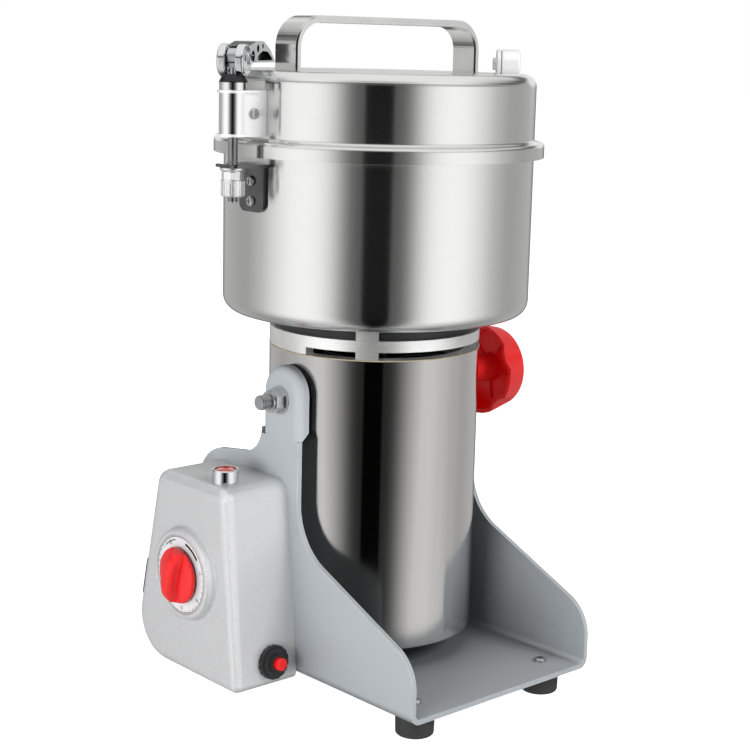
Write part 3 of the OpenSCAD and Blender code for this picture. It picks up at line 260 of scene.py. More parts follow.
def addFloor():
    bm = bmesh.new()
    bmesh.ops.create_circle(bm, cap_ends=True, segments=96, radius=studio["sweepReach"])
    mesh = bpy.data.meshes.new("sweep")
    bm.to_mesh(mesh)
    bm.free()
    floor = bpy.data.objects.new("sweep", mesh)
    bpy.context.scene.collection.objects.link(floor)
    mat = bpy.data.materials.new("paleSweep")
    mat.use_nodes = True
    tree = mat.node_tree
    surface = tree.nodes["Principled BSDF"]
    surface.inputs["Base Color"].default_value = (0.9, 0.9, 0.9, 1)
    surface.inputs["Roughness"].default_value = 0.9
    surface.inputs["Specular IOR Level"].default_value = 0.1
    surface.inputs["Emission Color"].default_value = (1, 1, 1, 1)
    path = nodeAt(tree, "ShaderNodeLightPath", -500, -200).outputs
    glow = sums(tree, "MULTIPLY", -250, -200, path["Is Camera Ray"], studio["sweepGlow"])
    tree.links.new(glow, surface.inputs["Emission Strength"])
    floor.data.materials.append(mat)
    floor.visible_glossy = False


studioWorld()
for name in ("key", "front", "top"):
    addLamp(name + "Lamp", studio[name])
addFloor()
print("studio lit")


# shared effects as node groups: each puts out masks, values or normals only

def newGroup(name, inputs, outputs):
    group = bpy.data.node_groups.new(name, "ShaderNodeTree")
    for label, kind, value in inputs:
        socket = group.interface.new_socket(label, in_out="INPUT", socket_type=kind)
        if value is not None:
            socket.default_value = value
    for label, kind in outputs:
        group.interface.new_socket(label, in_out="OUTPUT", socket_type=kind)
    return (group, nodeAt(group, "NodeGroupInput", -1200, 0).outputs,
            nodeAt(group, "NodeGroupOutput", 600, 0).inputs)


def buildTurnedLines():
    # fine lines round the motor axis, as brushing or turning leaves them on wall and top alike
    group, start, end = newGroup("turnedLines", [
        ("Vector", "NodeSocketVector", None), ("Centre", "NodeSocketVector", (0, 0, 0)),
        ("Fineness", "NodeSocketFloat", 900.0), ("Wander", "NodeSocketFloat", 0.3)],
        [("Lines", "NodeSocketFloat"), ("Sheen", "NodeSocketFloat")])
    away = vectorSums(group, "SUBTRACT", -1000, 0, start["Vector"], start["Centre"])
    size = vectorSums(group, "LENGTH", -680, 60, vectorSums(group, "MULTIPLY", -840, 60, away, (1, 1, 0)))
    total = sums(group, "ADD", -520, 0, size, splitOf(group, away, -840, -120)["Z"])
    slow = noiseOf(group, away, -680, -300, 9, 3)
    drift = sums(group, "MULTIPLY", -360, -240, slow, start["Wander"])
    bent = sums(group, "ADD", -200, -60, sums(group, "MULTIPLY", -360, 0, total, start["Fineness"]), drift)
    lines = nodeAt(group, "ShaderNodeTexNoise", -40, 0, noise_dimensions="1D")
    for label, value in (("W", bent), ("Scale", 1), ("Detail", 4), ("Roughness", 0.7)):
        feed(group, lines.inputs[label], value)
    feed(group, end["Lines"], lines.outputs["Fac"])
    feed(group, end["Sheen"], slow)
    return group


def buildEdgeWear():
    # light and worn along the outer edges, broken up by noise
    group, start, end = newGroup("edgeWear", [
        ("Vector", "NodeSocketVector", None), ("Width", "NodeSocketFloat", 0.0012),
        ("Breakup", "NodeSocketFloat", 60.0)],
        [("Edge", "NodeSocketFloat")])
    bevel = nodeAt(group, "ShaderNodeBevel", -900, 100, samples=6)
    feed(group, bevel.inputs["Radius"], start["Width"])
    shape = nodeAt(group, "ShaderNodeNewGeometry", -900, -60).outputs
    turned = vectorSums(group, "DOT_PRODUCT", -700, 60, bevel.outputs["Normal"], shape["Normal"])
    noise = noiseOf(group, start["Vector"], -700, -240, start["Breakup"], 5)
    both = sums(group, "MULTIPLY", -300, 0, spread(group, turned, 0, 1, -520, 60, 0.995, 0.86),
                spread(group, noise, 0, 1, -520, -240, 0.35, 0.62))
    feed(group, end["Edge"], both)
    return group


def buildHandling():
    # broad smudges and fine dust that vary gloss and colour a little
    group, start, end = newGroup("handling", [
        ("Vector", "NodeSocketVector", None), ("Broad", "NodeSocketFloat", 14.0), ("Fine", "NodeSocketFloat", 700.0)],
        [("Smudge", "NodeSocketFloat"), ("Speck", "NodeSocketFloat")])
    broad = noiseOf(group, start["Vector"], -700, 120, start["Broad"], 4, 0.6)
    feed(group, end["Smudge"], spread(group, broad, 0, 1, -480, 120, 0.3, 0.7))
    feed(group, end["Speck"], noiseOf(group, start["Vector"], -700, -140, start["Fine"], 2))
    return group


def buildFlakes():
    # metallic flakes in paint: a tilt for each cell and a brightness that jumps from flake to flake
    group, start, end = newGroup("flakes", [
        ("Vector", "NodeSocketVector", None), ("Scale", "NodeSocketFloat", 1500.0), ("Tilt", "NodeSocketFloat", 0.2)],
        [("Glint", "NodeSocketFloat"), ("Normal", "NodeSocketVector")])
    cells = nodeAt(group, "ShaderNodeTexVoronoi", -900, 0)
    feed(group, cells.inputs["Vector"], start["Vector"])
    feed(group, cells.inputs["Scale"], start["Scale"])
    chance = cells.outputs["Color"]
    tilt = vectorSums(group, "SCALE", -540, 0, vectorSums(group, "SUBTRACT", -700, 0, chance, (0.5, 0.5, 0.5)),
                      start["Tilt"])
    shape = nodeAt(group, "ShaderNodeNewGeometry", -700, -220).outputs
    tilted = vectorSums(group, "ADD", -360, -60, shape["Normal"], tilt)
    split = nodeAt(group, "ShaderNodeSeparateColor", -540, 220)
    feed(group, split.inputs[0], chance)
    feed(group, end["Glint"], split.outputs["Red"])
    feed(group, end["Normal"], vectorSums(group, "NORMALIZE", -200, -60, tilted))
    return group


turnedLines = buildTurnedLines()
edgeWear = buildEdgeWear()
handling = buildHandling()
flakes = buildFlakes()


def startMaterial(name, colour, metallic=0.0, roughness=0.5):
    # the values stand until the finish links its own
    mat = bpy.data.materials.new(name)
    mat.use_nodes = True
    tree = mat.node_tree
    shader = tree.nodes["Principled BSDF"]
    shader.inputs["Base Color"].default_value = (*colour, 1)
    shader.inputs["Metallic"].default_value = metallic
    shader.inputs["Roughness"].default_value = roughness
    coord = nodeAt(tree, "ShaderNodeTexCoord", -1300, 0)
    return mat, tree, shader, coord.outputs["Object"]


def useGroup(tree, group, vector, x, y, **values):
    node = nodeAt(tree, "ShaderNodeGroup", x, y)
    node.node_tree = group
    tree.links.new(vector, node.inputs["Vector"])
    for label, value in values.items():
        node.inputs[label].default_value = value
    return node


def addBump(tree, shader, height, strength, distance, after=None):
    node = nodeAt(tree, "ShaderNodeBump", -250, -400)
    for label, value in (("Height", height), ("Strength", strength), ("Distance", distance)):
        feed(tree, node.inputs[label], value)
    if after is not None:
        tree.links.new(after, node.inputs["Normal"])
    tree.links.new(node.outputs["Normal"], shader.inputs["Normal"])


def shaded(tree, distance):
    # 0 where nothing within the distance, in metres, is open, and 1 in the open
    node = nodeAt(tree, "ShaderNodeAmbientOcclusion", -700, 360, samples=12)
    node.inputs["Distance"].default_value = distance
    return node.outputs["AO"]


def facingOf(tree, x, y):
    # 0 where a surface faces the viewer, 1 edge on
    node = nodeAt(tree, "ShaderNodeLayerWeight", x, y)
    node.inputs["Blend"].default_value = 0.5
    return node.outputs["Facing"]


def paintedSteel():
    mat, tree, shader, vector = startMaterial("standPaint", (0.38, 0.41, 0.43), 0.0, 0.42)
    link = tree.links.new
    wear = useGroup(tree, edgeWear, vector, -1000, 200, Width=0.0016, Breakup=45.0)
    hands = useGroup(tree, handling, vector, -1000, -60, Broad=9.0, Fine=420.0)
    tone = blendColours(tree, hands.outputs["Smudge"], (0.366, 0.392, 0.412), (0.4, 0.428, 0.448), -700, 0)
    lit = blendColours(tree, wear.outputs["Edge"], tone, (0.54, 0.57, 0.59), -480, 60)
    # painted shade: darker between the cheeks and under the motor, where the casing keeps light off
    outsidePaintedShade = spread(tree, shaded(tree, 0.16), 0, 1, -480, 360, 0.25, 0.6)
    link(blendColours(tree, outsidePaintedShade, (0.185, 0.2, 0.21), lit, -280, 200), shader.inputs["Base Color"])
    link(spread(tree, hands.outputs["Smudge"], 0.36, 0.46, -700, -200), shader.inputs["Roughness"])
    addBump(tree, shader, hands.outputs["Speck"], 0.12, 0.0004)
    return mat


def sparklePaint():
    mat, tree, shader, vector = startMaterial("sparklePaint", (0.6, 0.61, 0.62), 0.5, 0.42)
    link = tree.links.new
    metal = useGroup(tree, flakes, vector, -1000, 100, Scale=1500.0, Tilt=0.14)
    hands = useGroup(tree, handling, vector, -1000, -180, Broad=11.0, Fine=900.0)
    tone = blendColours(tree, metal.outputs["Glint"], (0.6, 0.603, 0.612), (0.73, 0.733, 0.742), -700, 60)
    evened = spread(tree, hands.outputs["Smudge"], 0.25, 0.5, -700, -120)
    soft = blendColours(tree, evened, tone, (0.665, 0.668, 0.677), -480, 60)
    # metallic flop and painted highlight: the colour is brightened where the paint faces the viewer, which lays a
    # bright line down the box's rounded corners
    flopAndHighlight = spread(tree, facingOf(tree, -480, 320), 1.24, 1.0, -300, 320, 0.02, 0.13)
    link(vectorSums(tree, "SCALE", -250, 200, soft, flopAndHighlight), shader.inputs["Base Color"])
    link(spread(tree, metal.outputs["Glint"], 0.36, 0.5, -700, -300), shader.inputs["Roughness"])
    addBump(tree, shader, hands.outputs["Speck"], 0.06, 0.0002, after=metal.outputs["Normal"])
    shader.inputs["Coat Weight"].default_value = 0.25
    shader.inputs["Coat Roughness"].default_value = 0.25
    return mat


def rubber(name, colour, roughness):
    mat, tree, shader, vector = startMaterial(name, colour, 0.0, roughness)
    hands = useGroup(tree, handling, vector, -1000, 0, Broad=30.0, Fine=1300.0)
    paler = tuple(min(1, c * 1.5 + 0.01) for c in colour)
    tree.links.new(blendColours(tree, hands.outputs["Smudge"], colour, paler, -600, 0), shader.inputs["Base Color"])
    tree.links.new(spread(tree, hands.outputs["Speck"], roughness - 0.12, roughness + 0.08, -600, -200),
                   shader.inputs["Roughness"])
    addBump(tree, shader, hands.outputs["Speck"], 0.25, 0.0002)
    return mat


def roundTangent(tree, vector, x, y):
    # level direction round the motor axis
    away = vectorSums(tree, "SUBTRACT", x, y, vector, axisAt)
    return vectorSums(tree, "NORMALIZE", x + 360, y, vectorSums(tree, "CROSS_PRODUCT", x + 180, y, (0, 0, 1), away))


def brushedRound(name, colour, roughness, fineness, strength, paintedGapStops=None):
    # sheet steel brushed or polished round the motor axis, so that it blurs across the brushing only
    mat, tree, shader, vector = startMaterial(name, colour, 1.0, roughness)
    link = tree.links.new
    link(roundTangent(tree, vector, -1000, -520), shader.inputs["Tangent"])
    shader.inputs["Anisotropic"].default_value = 0.95
    shader.inputs["Anisotropic Rotation"].default_value = 0.25
    lines = useGroup(tree, turnedLines, vector, -1000, 150, Centre=tuple(axisAt), Fineness=fineness, Wander=1.6)
    hands = useGroup(tree, handling, vector, -1000, -150, Broad=7.0, Fine=300.0)
    darker = tuple(c * 0.93 for c in colour)
    tone = blendColours(tree, lines.outputs["Lines"], darker, colour, -600, 100)
    # painted reflection: the optional stops darken the colour where the steel faces the viewer
    if paintedGapStops is not None:
        paintedGapTone = greyRamp(tree, facingOf(tree, -800, 420), paintedGapStops, -600, 420)
        tone = blendColours(tree, 1, tone, paintedGapTone, -300, 300, "MULTIPLY")
    link(tone, shader.inputs["Base Color"])
    mixed = sums(tree, "MULTIPLY_ADD", -700, -150, lines.outputs["Lines"], 0.6, hands.outputs["Smudge"])
    link(spread(tree, mixed, roughness * 0.8, roughness * 1.25, -500, -150, 0.0, 1.6), shader.inputs["Roughness"])
    addBump(tree, shader, lines.outputs["Lines"], strength, 0.00002)
    return mat


def platedSteel(name, colour, roughness, mottled, metallic=1.0):
    mat, tree, shader, vector = startMaterial(name, colour, metallic, roughness)
    link = tree.links.new
    hands = useGroup(tree, handling, vector, -1000, 100, Broad=90.0, Fine=1600.0)
    wear = useGroup(tree, edgeWear, vector, -1000, -120, Width=0.0005, Breakup=300.0)
    darker = tuple(c * (1 - mottled) for c in colour)
    lighter = tuple(min(1, c * 1.12) for c in colour)
    tone = blendColours(tree, hands.outputs["Smudge"], darker, colour, -700, 60)
    link(blendColours(tree, wear.outputs["Edge"], tone, lighter, -480, 60), shader.inputs["Base Color"])
    link(spread(tree, hands.outputs["Speck"], roughness * 0.88, roughness * 1.12, -600, -200),
         shader.inputs["Roughness"])
    addBump(tree, shader, hands.outputs["Speck"], 0.04, 0.00003)
    return mat


def shaderOf(mat):
    return mat.node_tree.nodes["Principled BSDF"]


# the lid's barrels: metres from the axis over which polish gives way to satin
barrelEdge = (0.0081, 0.0083)
satin = {"Metallic": 0.5, "Roughness": 0.3}
polished = {"Metallic": 1.0, "Roughness": 0.15}


def chromedBarrel(name, axisNode):
    # satin cheeks on a polished barrel round axisNode
    mat = platedSteel(name, (0.93, 0.93, 0.93), satin["Roughness"], 0.03, satin["Metallic"])
    tree = mat.node_tree
    place = nodeAt(tree, "ShaderNodeTexCoord", -1400, 500).outputs["Object"]
    middle = middleOf(axisNode)
    away = vectorSums(tree, "SUBTRACT", -1200, 500, place, Vector((middle.x, middle.y, 0)))
    reach = vectorSums(tree, "LENGTH", -840, 500, vectorSums(tree, "MULTIPLY", -1020, 500, away, (1, 1, 0)))
    for label in satin:
        value = spread(tree, reach, polished[label], satin[label], -600, 500, *barrelEdge)
        tree.links.new(value, shaderOf(mat).inputs[label])
    return mat


def castAlloy():
    mat, tree, shader, vector = startMaterial("castAlloy", (0.9, 0.9, 0.89), 0.8, 0.4)
    link = tree.links.new
    lines = useGroup(tree, turnedLines, vector, -1000, 150, Centre=tuple(axisAt), Fineness=3000.0, Wander=0.5)
    hands = useGroup(tree, handling, vector, -1000, -150, Broad=60.0, Fine=900.0)
    link(blendColours(tree, hands.outputs["Smudge"], (0.86, 0.86, 0.85), (0.95, 0.95, 0.94), -600, 100),
         shader.inputs["Base Color"])
    link(spread(tree, lines.outputs["Lines"], 0.2, 0.38, -600, -150), shader.inputs["Roughness"])
    addBump(tree, shader, hands.outputs["Speck"], 0.2, 0.0001)
    return mat


def mouldedPlastic(name, colour, roughness, coat=0.0, paintedShadeTone=None):
    # the optional deeper colour is painted shade, laid where little light gets in
    mat, tree, shader, vector = startMaterial(name, colour, 0.0, roughness)
    link = tree.links.new
    hands = useGroup(tree, handling, vector, -1000, 0, Broad=25.0, Fine=1100.0)
    wear = useGroup(tree, edgeWear, vector, -1000, -220, Width=0.0008, Breakup=120.0)
    deeper = tuple(c * 0.88 for c in colour)
    paler = tuple(min(1, c * 1.08 + 0.02) for c in colour)
    tone = blendColours(tree, hands.outputs["Smudge"], deeper, colour, -700, 60)
    lit = blendColours(tree, wear.outputs["Edge"], tone, paler, -480, 60)
    # painted shade in creases and hollows, from ambient occlusion
    if paintedShadeTone is not None:
        outsidePaintedShade = spread(tree, shaded(tree, 0.012), 0, 1, -480, 360, 0.45, 0.95)
        lit = blendColours(tree, outsidePaintedShade, paintedShadeTone, lit, -280, 200)
    link(lit, shader.inputs["Base Color"])
    link(spread(tree, hands.outputs["Smudge"], roughness * 0.85, roughness * 1.2, -600, -200),
         shader.inputs["Roughness"])
    addBump(tree, shader, hands.outputs["Speck"], 0.06, 0.0001)
    shader.inputs["Coat Weight"].default_value = coat
    shader.inputs["Coat Roughness"].default_value = 0.12
    return mat


def glowingRed():
    # thin walls of red plastic, which let some light through
    # the knob's hollows get painted shade in a deeper red
    mat = mouldedPlastic("deepRed", (1.0, 0.018, 0.02), 0.42, paintedShadeTone=(0.85, 0.004, 0.005))
    inputs = shaderOf(mat).inputs
    inputs["Subsurface Weight"].default_value = 0.6
    inputs["Subsurface Radius"].default_value = (1, 0.06, 0.06)
    inputs["Subsurface Scale"].default_value = 0.02
    return mat


def lampRed():
    mat, tree, shader, vector = startMaterial("lampRed", (0.85, 0.04, 0.02), 0.0, 0.12)
    hands = useGroup(tree, handling, vector, -1000, 0, Broad=140.0, Fine=1500.0)
    tree.links.new(blendColours(tree, hands.outputs["Smudge"], (0.78, 0.03, 0.015), (0.92, 0.07, 0.03), -600, 0),
                   shader.inputs["Base Color"])
    shader.inputs["Coat Weight"].default_value = 0.6
    shader.inputs["Coat Roughness"].default_value = 0.05
    return mat


def turnedSaddle():
    # polished below and dark on the cone above, which starts just under half way up
    mat, tree, shader, vector = startMaterial("turnedSaddle", (0.8, 0.8, 0.8), 1.0, 0.15)
    low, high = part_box("clamp_saddle")
    cone = spread(tree, splitOf(tree, vector, -1000, 0)["Z"], 0, 1, -800, 0,
                  *(low.z + (high.z - low.z) * share for share in (0.46, 0.5)))
    hands = useGroup(tree, handling, vector, -1000, -250, Broad=120.0, Fine=1500.0)
    tree.links.new(blendColours(tree, cone, (0.82, 0.82, 0.82), (0.05, 0.05, 0.052), -500, 60),
                   shader.inputs["Base Color"])
    tree.links.new(spread(tree, hands.outputs["Speck"], 0.1, 0.24, -600, -220), shader.inputs["Roughness"])
    return mat


def laminations():
    mat, tree, shader, vector = startMaterial("laminations", (0.25, 0.26, 0.27), 1.0, 0.45)
    sheets = nodeAt(tree, "ShaderNodeTexWave", -900, 0, bands_direction="Z")
    sheets.inputs["Scale"].default_value = 320
    tree.links.new(vector, sheets.inputs["Vector"])
    tree.links.new(blendColours(tree, sheets.outputs["Fac"], (0.16, 0.165, 0.17), (0.33, 0.34, 0.35), -600, 0),
                   shader.inputs["Base Color"])
    addBump(tree, shader, sheets.outputs["Fac"], 0.5, 0.0002)
    return mat


def woundCopper():
    mat, tree, shader, vector = startMaterial("woundCopper", (0.55, 0.22, 0.09), 1.0, 0.32)
    wires = nodeAt(tree, "ShaderNodeTexWave", -900, 0, bands_direction="DIAGONAL")
    wires.inputs["Scale"].default_value = 260
    wires.inputs["Distortion"].default_value = 1.5
    tree.links.new(vector, wires.inputs["Vector"])
    tree.links.new(blendColours(tree, wires.outputs["Fac"], (0.33, 0.12, 0.05), (0.66, 0.29, 0.12), -600, 0),
                   shader.inputs["Base Color"])
    addBump(tree, shader, wires.outputs["Fac"], 0.7, 0.0003)
    return mat


# painted reflection: the share of the casing's colour kept, from face on (0) to edge on (1); the darkening face on
# widens the dark gap that the casing mirrors
casingPaintedGap = [(0.0, 0.2), (0.04, 0.21), (0.066, 0.3), (0.143, 0.58), (0.26, 0.66), (0.44, 1.0), (1.0, 1.0)]

materials = {
    "stand_paint": paintedSteel(),
    "box_paint": sparklePaint(),
    "black_rubber": rubber("blackRubber", (0.022, 0.022, 0.023), 0.72),
    "seal_rubber": rubber("sealRubber", (0.006, 0.006, 0.007), 0.42),
    "white_silicone": rubber("whiteSilicone", (0.75, 0.75, 0.71), 0.5),
    "zinc": platedSteel("zincPlate", (0.66, 0.67, 0.68), 0.28, 0.2),
    "chrome": platedSteel("chromePlate", (0.80, 0.81, 0.82), 0.08, 0.05),
    "bright_steel": brushedRound("brushedSteel", (0.86, 0.86, 0.85), 0.17, 900.0, 0.12),
    # the casing's steel carries a painted reflection of the dark gap
    "mirror_steel": brushedRound("polishedSteel", (0.86, 0.85, 0.835), 0.12, 1400.0, 0.03, casingPaintedGap),
    "blade_steel": platedSteel("groundSteel", (0.7, 0.7, 0.7), 0.22, 0.12),
    "dark_steel": platedSteel("blackenedSteel", (0.09, 0.09, 0.095), 0.3, 0.3),
    "cast_alloy": castAlloy(),
    "plain_alloy": platedSteel("plainAlloy", (0.6, 0.6, 0.6), 0.42, 0.15),
    "cover_steel": platedSteel("coverSteel", (0.4, 0.41, 0.42), 0.45, 0.15),
    "lamination": laminations(),
    "copper": woundCopper(),
    "contact_brass": platedSteel("contactBrass", (0.7, 0.5, 0.2), 0.25, 0.2),
    "carbon": rubber("carbonBlack", (0.03, 0.03, 0.03), 0.6),
    "black_plastic": mouldedPlastic("blackPlastic", (0.018, 0.018, 0.019), 0.45),
    "grey_plastic": mouldedPlastic("greyPlastic", (0.08, 0.08, 0.085), 0.5),
    # the red plastic carries painted shade in its hollows
    "red_plastic": mouldedPlastic("redPlastic", (0.80, 0.010, 0.012), 0.3, 0.15, (0.36, 0.002, 0.003)),
    "red_lens": lampRed(),
    "dial_print": mouldedPlastic("dialPrint", (0.73, 0.725, 0.74), 0.35),
}

# pieces whose finish departs from the rest of their slot
ownFinish = {
    "clamp_bracket": chromedBarrel("satinBracket", "clamp_rod"),
    "pivot_sleeve": chromedBarrel("satinSleeve", "pivot_post"),
    "knurled_nut": platedSteel("satinNut", (0.9, 0.9, 0.9), 0.26, 0.08, 0.85),
    "pivot_head": platedSteel("satinHead", (0.95, 0.95, 0.95), 0.4, 0.03, 0.3),
    "catch_plate": platedSteel("burnishedPlate", (0.2, 0.2, 0.205), 0.26, 0.25),
    "lid_handle": platedSteel("polishedBar", (0.82, 0.82, 0.81), 0.14, 0.08),
    "clamp_saddle": turnedSaddle(),
    "tilt_knob": glowingRed(),
}

for part in frame["record"]["subparts"]:
    mesh = cad[part["node"]].data
    mesh.materials.clear()
    mesh.materials.append(ownFinish.get(part["node"], materials[part["material_slot"]]))
print("finishes on", len(cad), "nodes")


# pieces too fine for the solids

def addPiece(name, bm, finish, body):
    bmesh.ops.recalc_face_normals(bm, faces=bm.faces)
    mesh = bpy.data.meshes.new(name)
    bm.to_mesh(mesh)
    bm.free()
    mesh.transform(toFrame)
    mesh.materials.append(finish)
    piece = bpy.data.objects.new(name, mesh)
    bpy.context.scene.collection.objects.link(piece)
    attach(piece, body)
    return piece


def spanOf(node):
    low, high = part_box(node)
    return (low - axisAt) * 1000, (high - axisAt) * 1000


def centreOf(node):
    low, high = spanOf(node)
    return (low + high) / 2


def ringOf(bm, sides, place):
    # ring of vertices round Z, where place gives the radius and the height at each part of a turn
    ring = []
    for i in range(sides):
        radius, height = place(i / sides)
        turn = math.tau * i / sides
        ring.append(bm.verts.new((radius * math.cos(turn), radius * math.sin(turn), height)))
    return ring


def joinRings(bm, rings):
    # skins the rings in turn, and leaves all faces so far smooth
    for low, high in zip(rings, rings[1:]):
        for i in range(len(low)):
            k = (i + 1) % len(low)
            bm.faces.new((low[i], low[k], high[k], high[i]))
    for face in bm.faces:
        face.smooth = True


# screw threads

threadSteel = platedSteel("threadSteel", (0.5, 0.5, 0.505), 0.24, 0.2)
threads = {
    "rod": {"radius": 2.59, "depth": 0.35, "pitch": 1.0, "sides": 28, "steps": 8},
    "stud": {"radius": 4.03, "depth": 0.4, "pitch": 1.25, "sides": 32, "steps": 8},
}
threadEnd = 0.6  # bare length at the end of rod or stud
threadGap = 0.2  # between a thread and what it runs up to


def threadRidge(turns):
    # 0 in the groove, 1 on the crest, with flat crests
    part = turns % 1
    return min(1.0, 2.6 * min(part, 1 - part))


def threadMesh(spec, length):
    # threaded sleeve along Z, from 0 up to its length
    bm = bmesh.new()
    count = round(length / spec["pitch"] * spec["steps"])
    rings = []
    for i in range(count + 1):
        z = length * i / count
        rings.append(ringOf(bm, spec["sides"], lambda turn: (
            spec["radius"] + spec["depth"] * threadRidge(z / spec["pitch"] - turn), z)))
    joinRings(bm, rings)
    bm.faces.new(rings[0])
    bm.faces.new(rings[-1])
    return bm


def addRodThreads():
    rodLow, nutLow, bracketLow = (spanOf(node)[0].z for node in ("clamp_rod", "knurled_nut", "clamp_bracket"))
    catchHigh = spanOf("catch_plate")[1].z
    middle = centreOf("knurled_nut")
    for name, bottom, top in (("upperThread", catchHigh + threadGap, bracketLow - threadGap),
                              ("lowerThread", rodLow + threadEnd, nutLow - threadGap)):
        bm = threadMesh(threads["rod"], top - bottom)
        bm.transform(Matrix.Translation((middle.x, middle.y, bottom)))
        addPiece(name, bm, threadSteel, "clamp")


def addStudThread():
    first = spanOf("trunnion_studs")[0].x + threadEnd
    middle = centreOf("pivot_nut")
    bm = threadMesh(threads["stud"], spanOf("pivot_nut")[0].x - threadGap / 2 - first)
    bm.transform(Matrix.Translation((first, middle.y, middle.z)) @ Matrix.Rotation(math.pi / 2, 4, "Y"))
    addPiece("studThread", bm, threadSteel, "motor")


# dial: pressed surround, plate and its print of plain figures, ticks, two arcs and an edge line

dial = {
    "ringRise": 3.608,  # from the box's face to the solid ring's crest, where the box is lowest in X
    "surround": 27.8,  # outer radius
    "height": 5.6,  # crest above the box
    "foot": 0.9,  # radius of the surround's hollow outer foot
    "shoulder": 2.2,  # radius of its round shoulder
    "lip": 0.9,  # radius of its inner edge
    "sunk": -0.4,
    "plate": 23.1,
    "plateLevel": 4.9,
    "plateHole": 13.2,
    "figures": (5, 30),  # first and last figure, in minutes
    "start": 75,  # degrees clockwise from the top, at the first figure
    "end": 330,  # degrees at the last figure
    "figureRadius": 20.0,
    "figureSize": 2.9,
    "tickRadii": (21.3, 22.3),
    "tickWidth": 0.32,
    "arcs": ((14, 52, 19.6, 21.2), (-44, -14, 20.6, 21.2)),  # from, to, inner and outer radius
    "edge": (22.65, 22.95),
    "rise": 0.06,
}


def dialFace(level):
    # the dial's X, Y and height go to -Y, Z and -X of the grinder
    middle = centreOf("dial_plate")
    face = spanOf("control_box")[0].x + dial["ringRise"]
    return Matrix(((0, 0, -1, face - level), (-1, 0, 0, middle.y), (0, 1, 0, middle.z), (0, 0, 0, 1)))


def turnProfile(points, sides=96):
    # solid of revolution round Z from a closed outline of radius and height
    bm = bmesh.new()
    loops = [[bm.verts.new((r * math.cos(math.tau * i / sides), r * math.sin(math.tau * i / sides), h))
              for r, h in points] for i in range(sides)]
    joinRings(bm, loops + loops[:1])
    return bm


def arcPoints(middle, radius, first, last, steps=6):
    turns = [math.radians(first + (last - first) * i / steps) for i in range(steps + 1)]
    return [(middle[0] + radius * math.cos(turn), middle[1] + radius * math.sin(turn)) for turn in turns]


def addDialSurround():
    outer, top, plate = dial["surround"], dial["height"], dial["plate"]
    foot, shoulder, lip = dial["foot"], dial["shoulder"], dial["lip"]
    hole, level = dial["plateHole"], dial["plateLevel"]
    bm = turnProfile([(outer, dial["sunk"])] + arcPoints((outer + foot, foot), foot, 260, 190, 4)
                     + arcPoints((outer - 2.6, top - shoulder), shoulder, 15, 90)
                     + arcPoints((plate + 1.5, top - lip), lip, 95, 170, 5)
                     + [(plate + 0.1, level - 0.3), (plate - 1.5, level - 0.6), (plate - 1.5, dial["sunk"])])
    bm.transform(dialFace(0))
    addPiece("dialSurround", bm, materials["box_paint"], "stand")
    bm = turnProfile([(hole, level - 0.5), (plate, level - 0.5), (plate, level - 0.1), (plate - 0.2, level),
                      (hole, level)])
    bm.transform(dialFace(0))
    face = addPiece("dialPlate", bm, materials["dial_print"], "stand")
    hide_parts("dial_plate")


def dialTurn(minutes):
    first, last = dial["figures"]
    return dial["start"] + (dial["end"] - dial["start"]) * (minutes - first) / (last - first)


def flatArc(bm, first, last, inner, outer, rise):
    # flat band from the first to the last degree, clockwise from the top
    steps = max(2, round(abs(last - first) / 4))
    rows = []
    for i in range(steps + 1):
        turn = math.radians(first + (last - first) * i / steps)
        across, up = math.sin(turn), math.cos(turn)
        rows.append([bm.verts.new((across * r, up * r, h)) for r, h in
                     ((inner, 0), (outer, 0), (outer, rise), (inner, rise))])
    for a, b in zip(rows, rows[1:]):
        for k in range(4):
            bm.faces.new((a[k], a[(k + 1) % 4], b[(k + 1) % 4], b[k]))
    if abs(last - first) >= 360:
        bmesh.ops.remove_doubles(bm, verts=rows[0] + rows[-1], dist=1e-5)
    else:
        bm.faces.new(rows[0])
        bm.faces.new(rows[-1])


def addFigure(bm, text, turn, radius, size, rise):
    curve = bpy.data.curves.new("figure", "FONT")
    curve.body = text
    curve.size = size
    curve.align_x = "CENTER"
    curve.align_y = "CENTER"
    curve.extrude = rise / 2
    holder = bpy.data.objects.new("figure", curve)
    mesh = bpy.data.meshes.new_from_object(holder)
    angle = math.radians(turn)
    mesh.transform(Matrix.Translation((radius * math.sin(angle), radius * math.cos(angle), rise / 2)))
    bm.from_mesh(mesh)
    bpy.data.objects.remove(holder)
    bpy.data.curves.remove(curve)
    bpy.data.meshes.remove(mesh)


def addDialPrint():
    rise = dial["rise"]
    first, last = dial["figures"]
    half = math.degrees(dial["tickWidth"] / dial["tickRadii"][1] / 2)
    bm = bmesh.new()
    for minutes in range(first, last + 1, 5):
        addFigure(bm, str(minutes), dialTurn(minutes), dial["figureRadius"], dial["figureSize"], rise)
    for minutes in range(first, last + 1):
        turn = dialTurn(minutes)
        flatArc(bm, turn - half, turn + half, *dial["tickRadii"], rise)
    for start, end, inner, outer in dial["arcs"]:
        flatArc(bm, start, end, inner, outer, rise)
    flatArc(bm, 0, 360, *dial["edge"], rise)
    bm.transform(dialFace(dial["plateLevel"] + 0.01))
    addPiece("dialPrint", bm, materials["black_plastic"], "stand")


# timer knob: a disc with a straight-sided grip across it, standing through the plate's hole

timerKnob = {
    "rim": 16.9,
    "rimLevel": 1.8,  # levels are above the plate
    "edge": 0.9,  # from the rim in to the rounded top
    "back": 12.9,
    "disc": 6.0,  # level of the disc in the middle, beside the grip
    "discFall": 2.5,
    "top": 12.0,
    "gripReach": 16.2,
    "gripHalf": 3.9,
    "gripSoft": 1.1,  # width over which the grip's side rises
    "gripCrown": 0.7,
    "lean": -14,  # degrees, anticlockwise
    "sides": 192,
    "rings": 72,
}


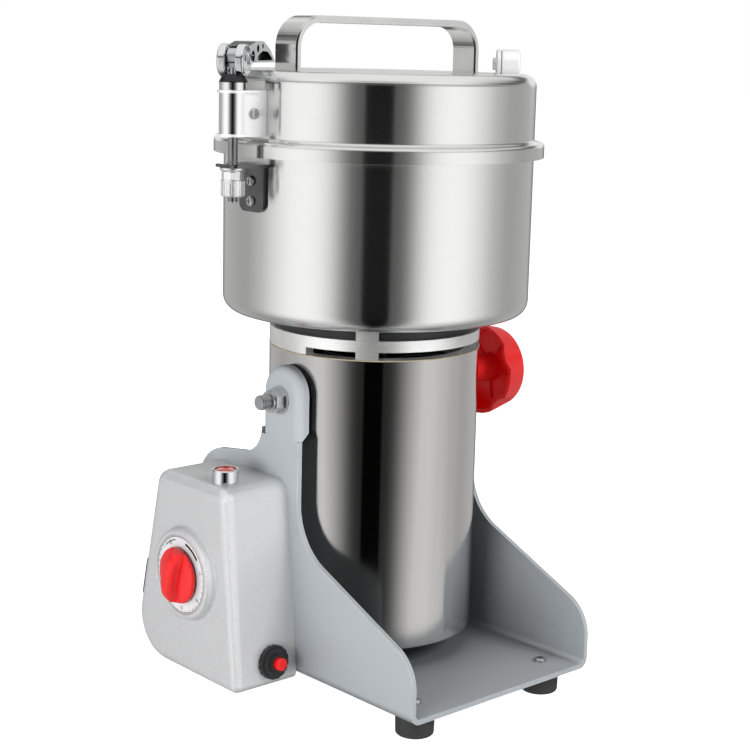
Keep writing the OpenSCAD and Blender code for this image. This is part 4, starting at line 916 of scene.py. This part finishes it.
def knobLevel(across, up):
    # height of the knob's front above the plate
    k = timerKnob
    lean = math.radians(k["lean"])
    along = -across * math.sin(lean) + up * math.cos(lean)
    aside = abs(across * math.cos(lean) + up * math.sin(lean))
    disc = k["disc"] - k["discFall"] * (math.hypot(across, up) / k["rim"]) ** 2
    foot = k["disc"] - 1
    ridge = foot + (k["top"] - foot) * math.sqrt(max(0, 1 - (along / k["gripReach"]) ** 2))
    ridge -= k["gripCrown"] * (aside / k["gripHalf"]) ** 2
    rise = min(1, max(0, (k["gripHalf"] + k["gripSoft"] / 2 - aside) / k["gripSoft"]))
    return disc + max(0, ridge - disc) * rise * rise * (3 - 2 * rise)


def addTimerKnob():
    k = timerKnob
    inner, edge = k["rim"] - k["edge"], k["disc"] - k["discFall"]
    rimAndBack = ((k["rim"] - 0.25, edge - 0.35), (k["rim"], k["rimLevel"]), (k["rim"] - 0.3, k["rimLevel"] - 0.6),
                  (k["back"] + 1, 0.8), (k["back"], 0.2), (k["back"], dial["sunk"]))
    bm = bmesh.new()
    rings = []
    for i in range(1, k["rings"] + 1):
        radius = inner * i / k["rings"]
        rings.append(ringOf(bm, k["sides"], lambda turn: (
            radius, knobLevel(radius * math.cos(math.tau * turn), radius * math.sin(math.tau * turn)))))
    for spot in rimAndBack:
        rings.append(ringOf(bm, k["sides"], lambda turn: spot))
    middle = bm.verts.new((0, 0, knobLevel(0, 0)))
    for i in range(k["sides"]):
        bm.faces.new((middle, rings[0][i], rings[0][(i + 1) % k["sides"]]))
    joinRings(bm, rings)
    bm.faces.new(rings[-1])
    bm.transform(dialFace(dial["plateLevel"]))
    knob = addPiece("timerKnob", bm, materials["red_plastic"], "timer_dial")
    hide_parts("timer_knob")


# folded gasket edge at the casing's top

casingTrim = {"rise": 0.7, "stand": 0.2}


def addCasingTrim():
    low, high = spanOf("motor_shell")
    radius = (high.y - low.y) / 2
    bm = bmesh.new()
    flatArc(bm, 0, 360, radius + 0.02, radius + casingTrim["stand"], casingTrim["rise"])
    bm.transform(Matrix.Translation((0, 0, high.z - casingTrim["rise"])))
    addPiece("casingTrim", bm, mouldedPlastic("tanEdge", (0.36, 0.31, 0.21), 0.5), "motor")


addRodThreads()
addStudThread()
addDialSurround()
addDialPrint()
addTimerKnob()
addCasingTrim()
print("fine pieces added")
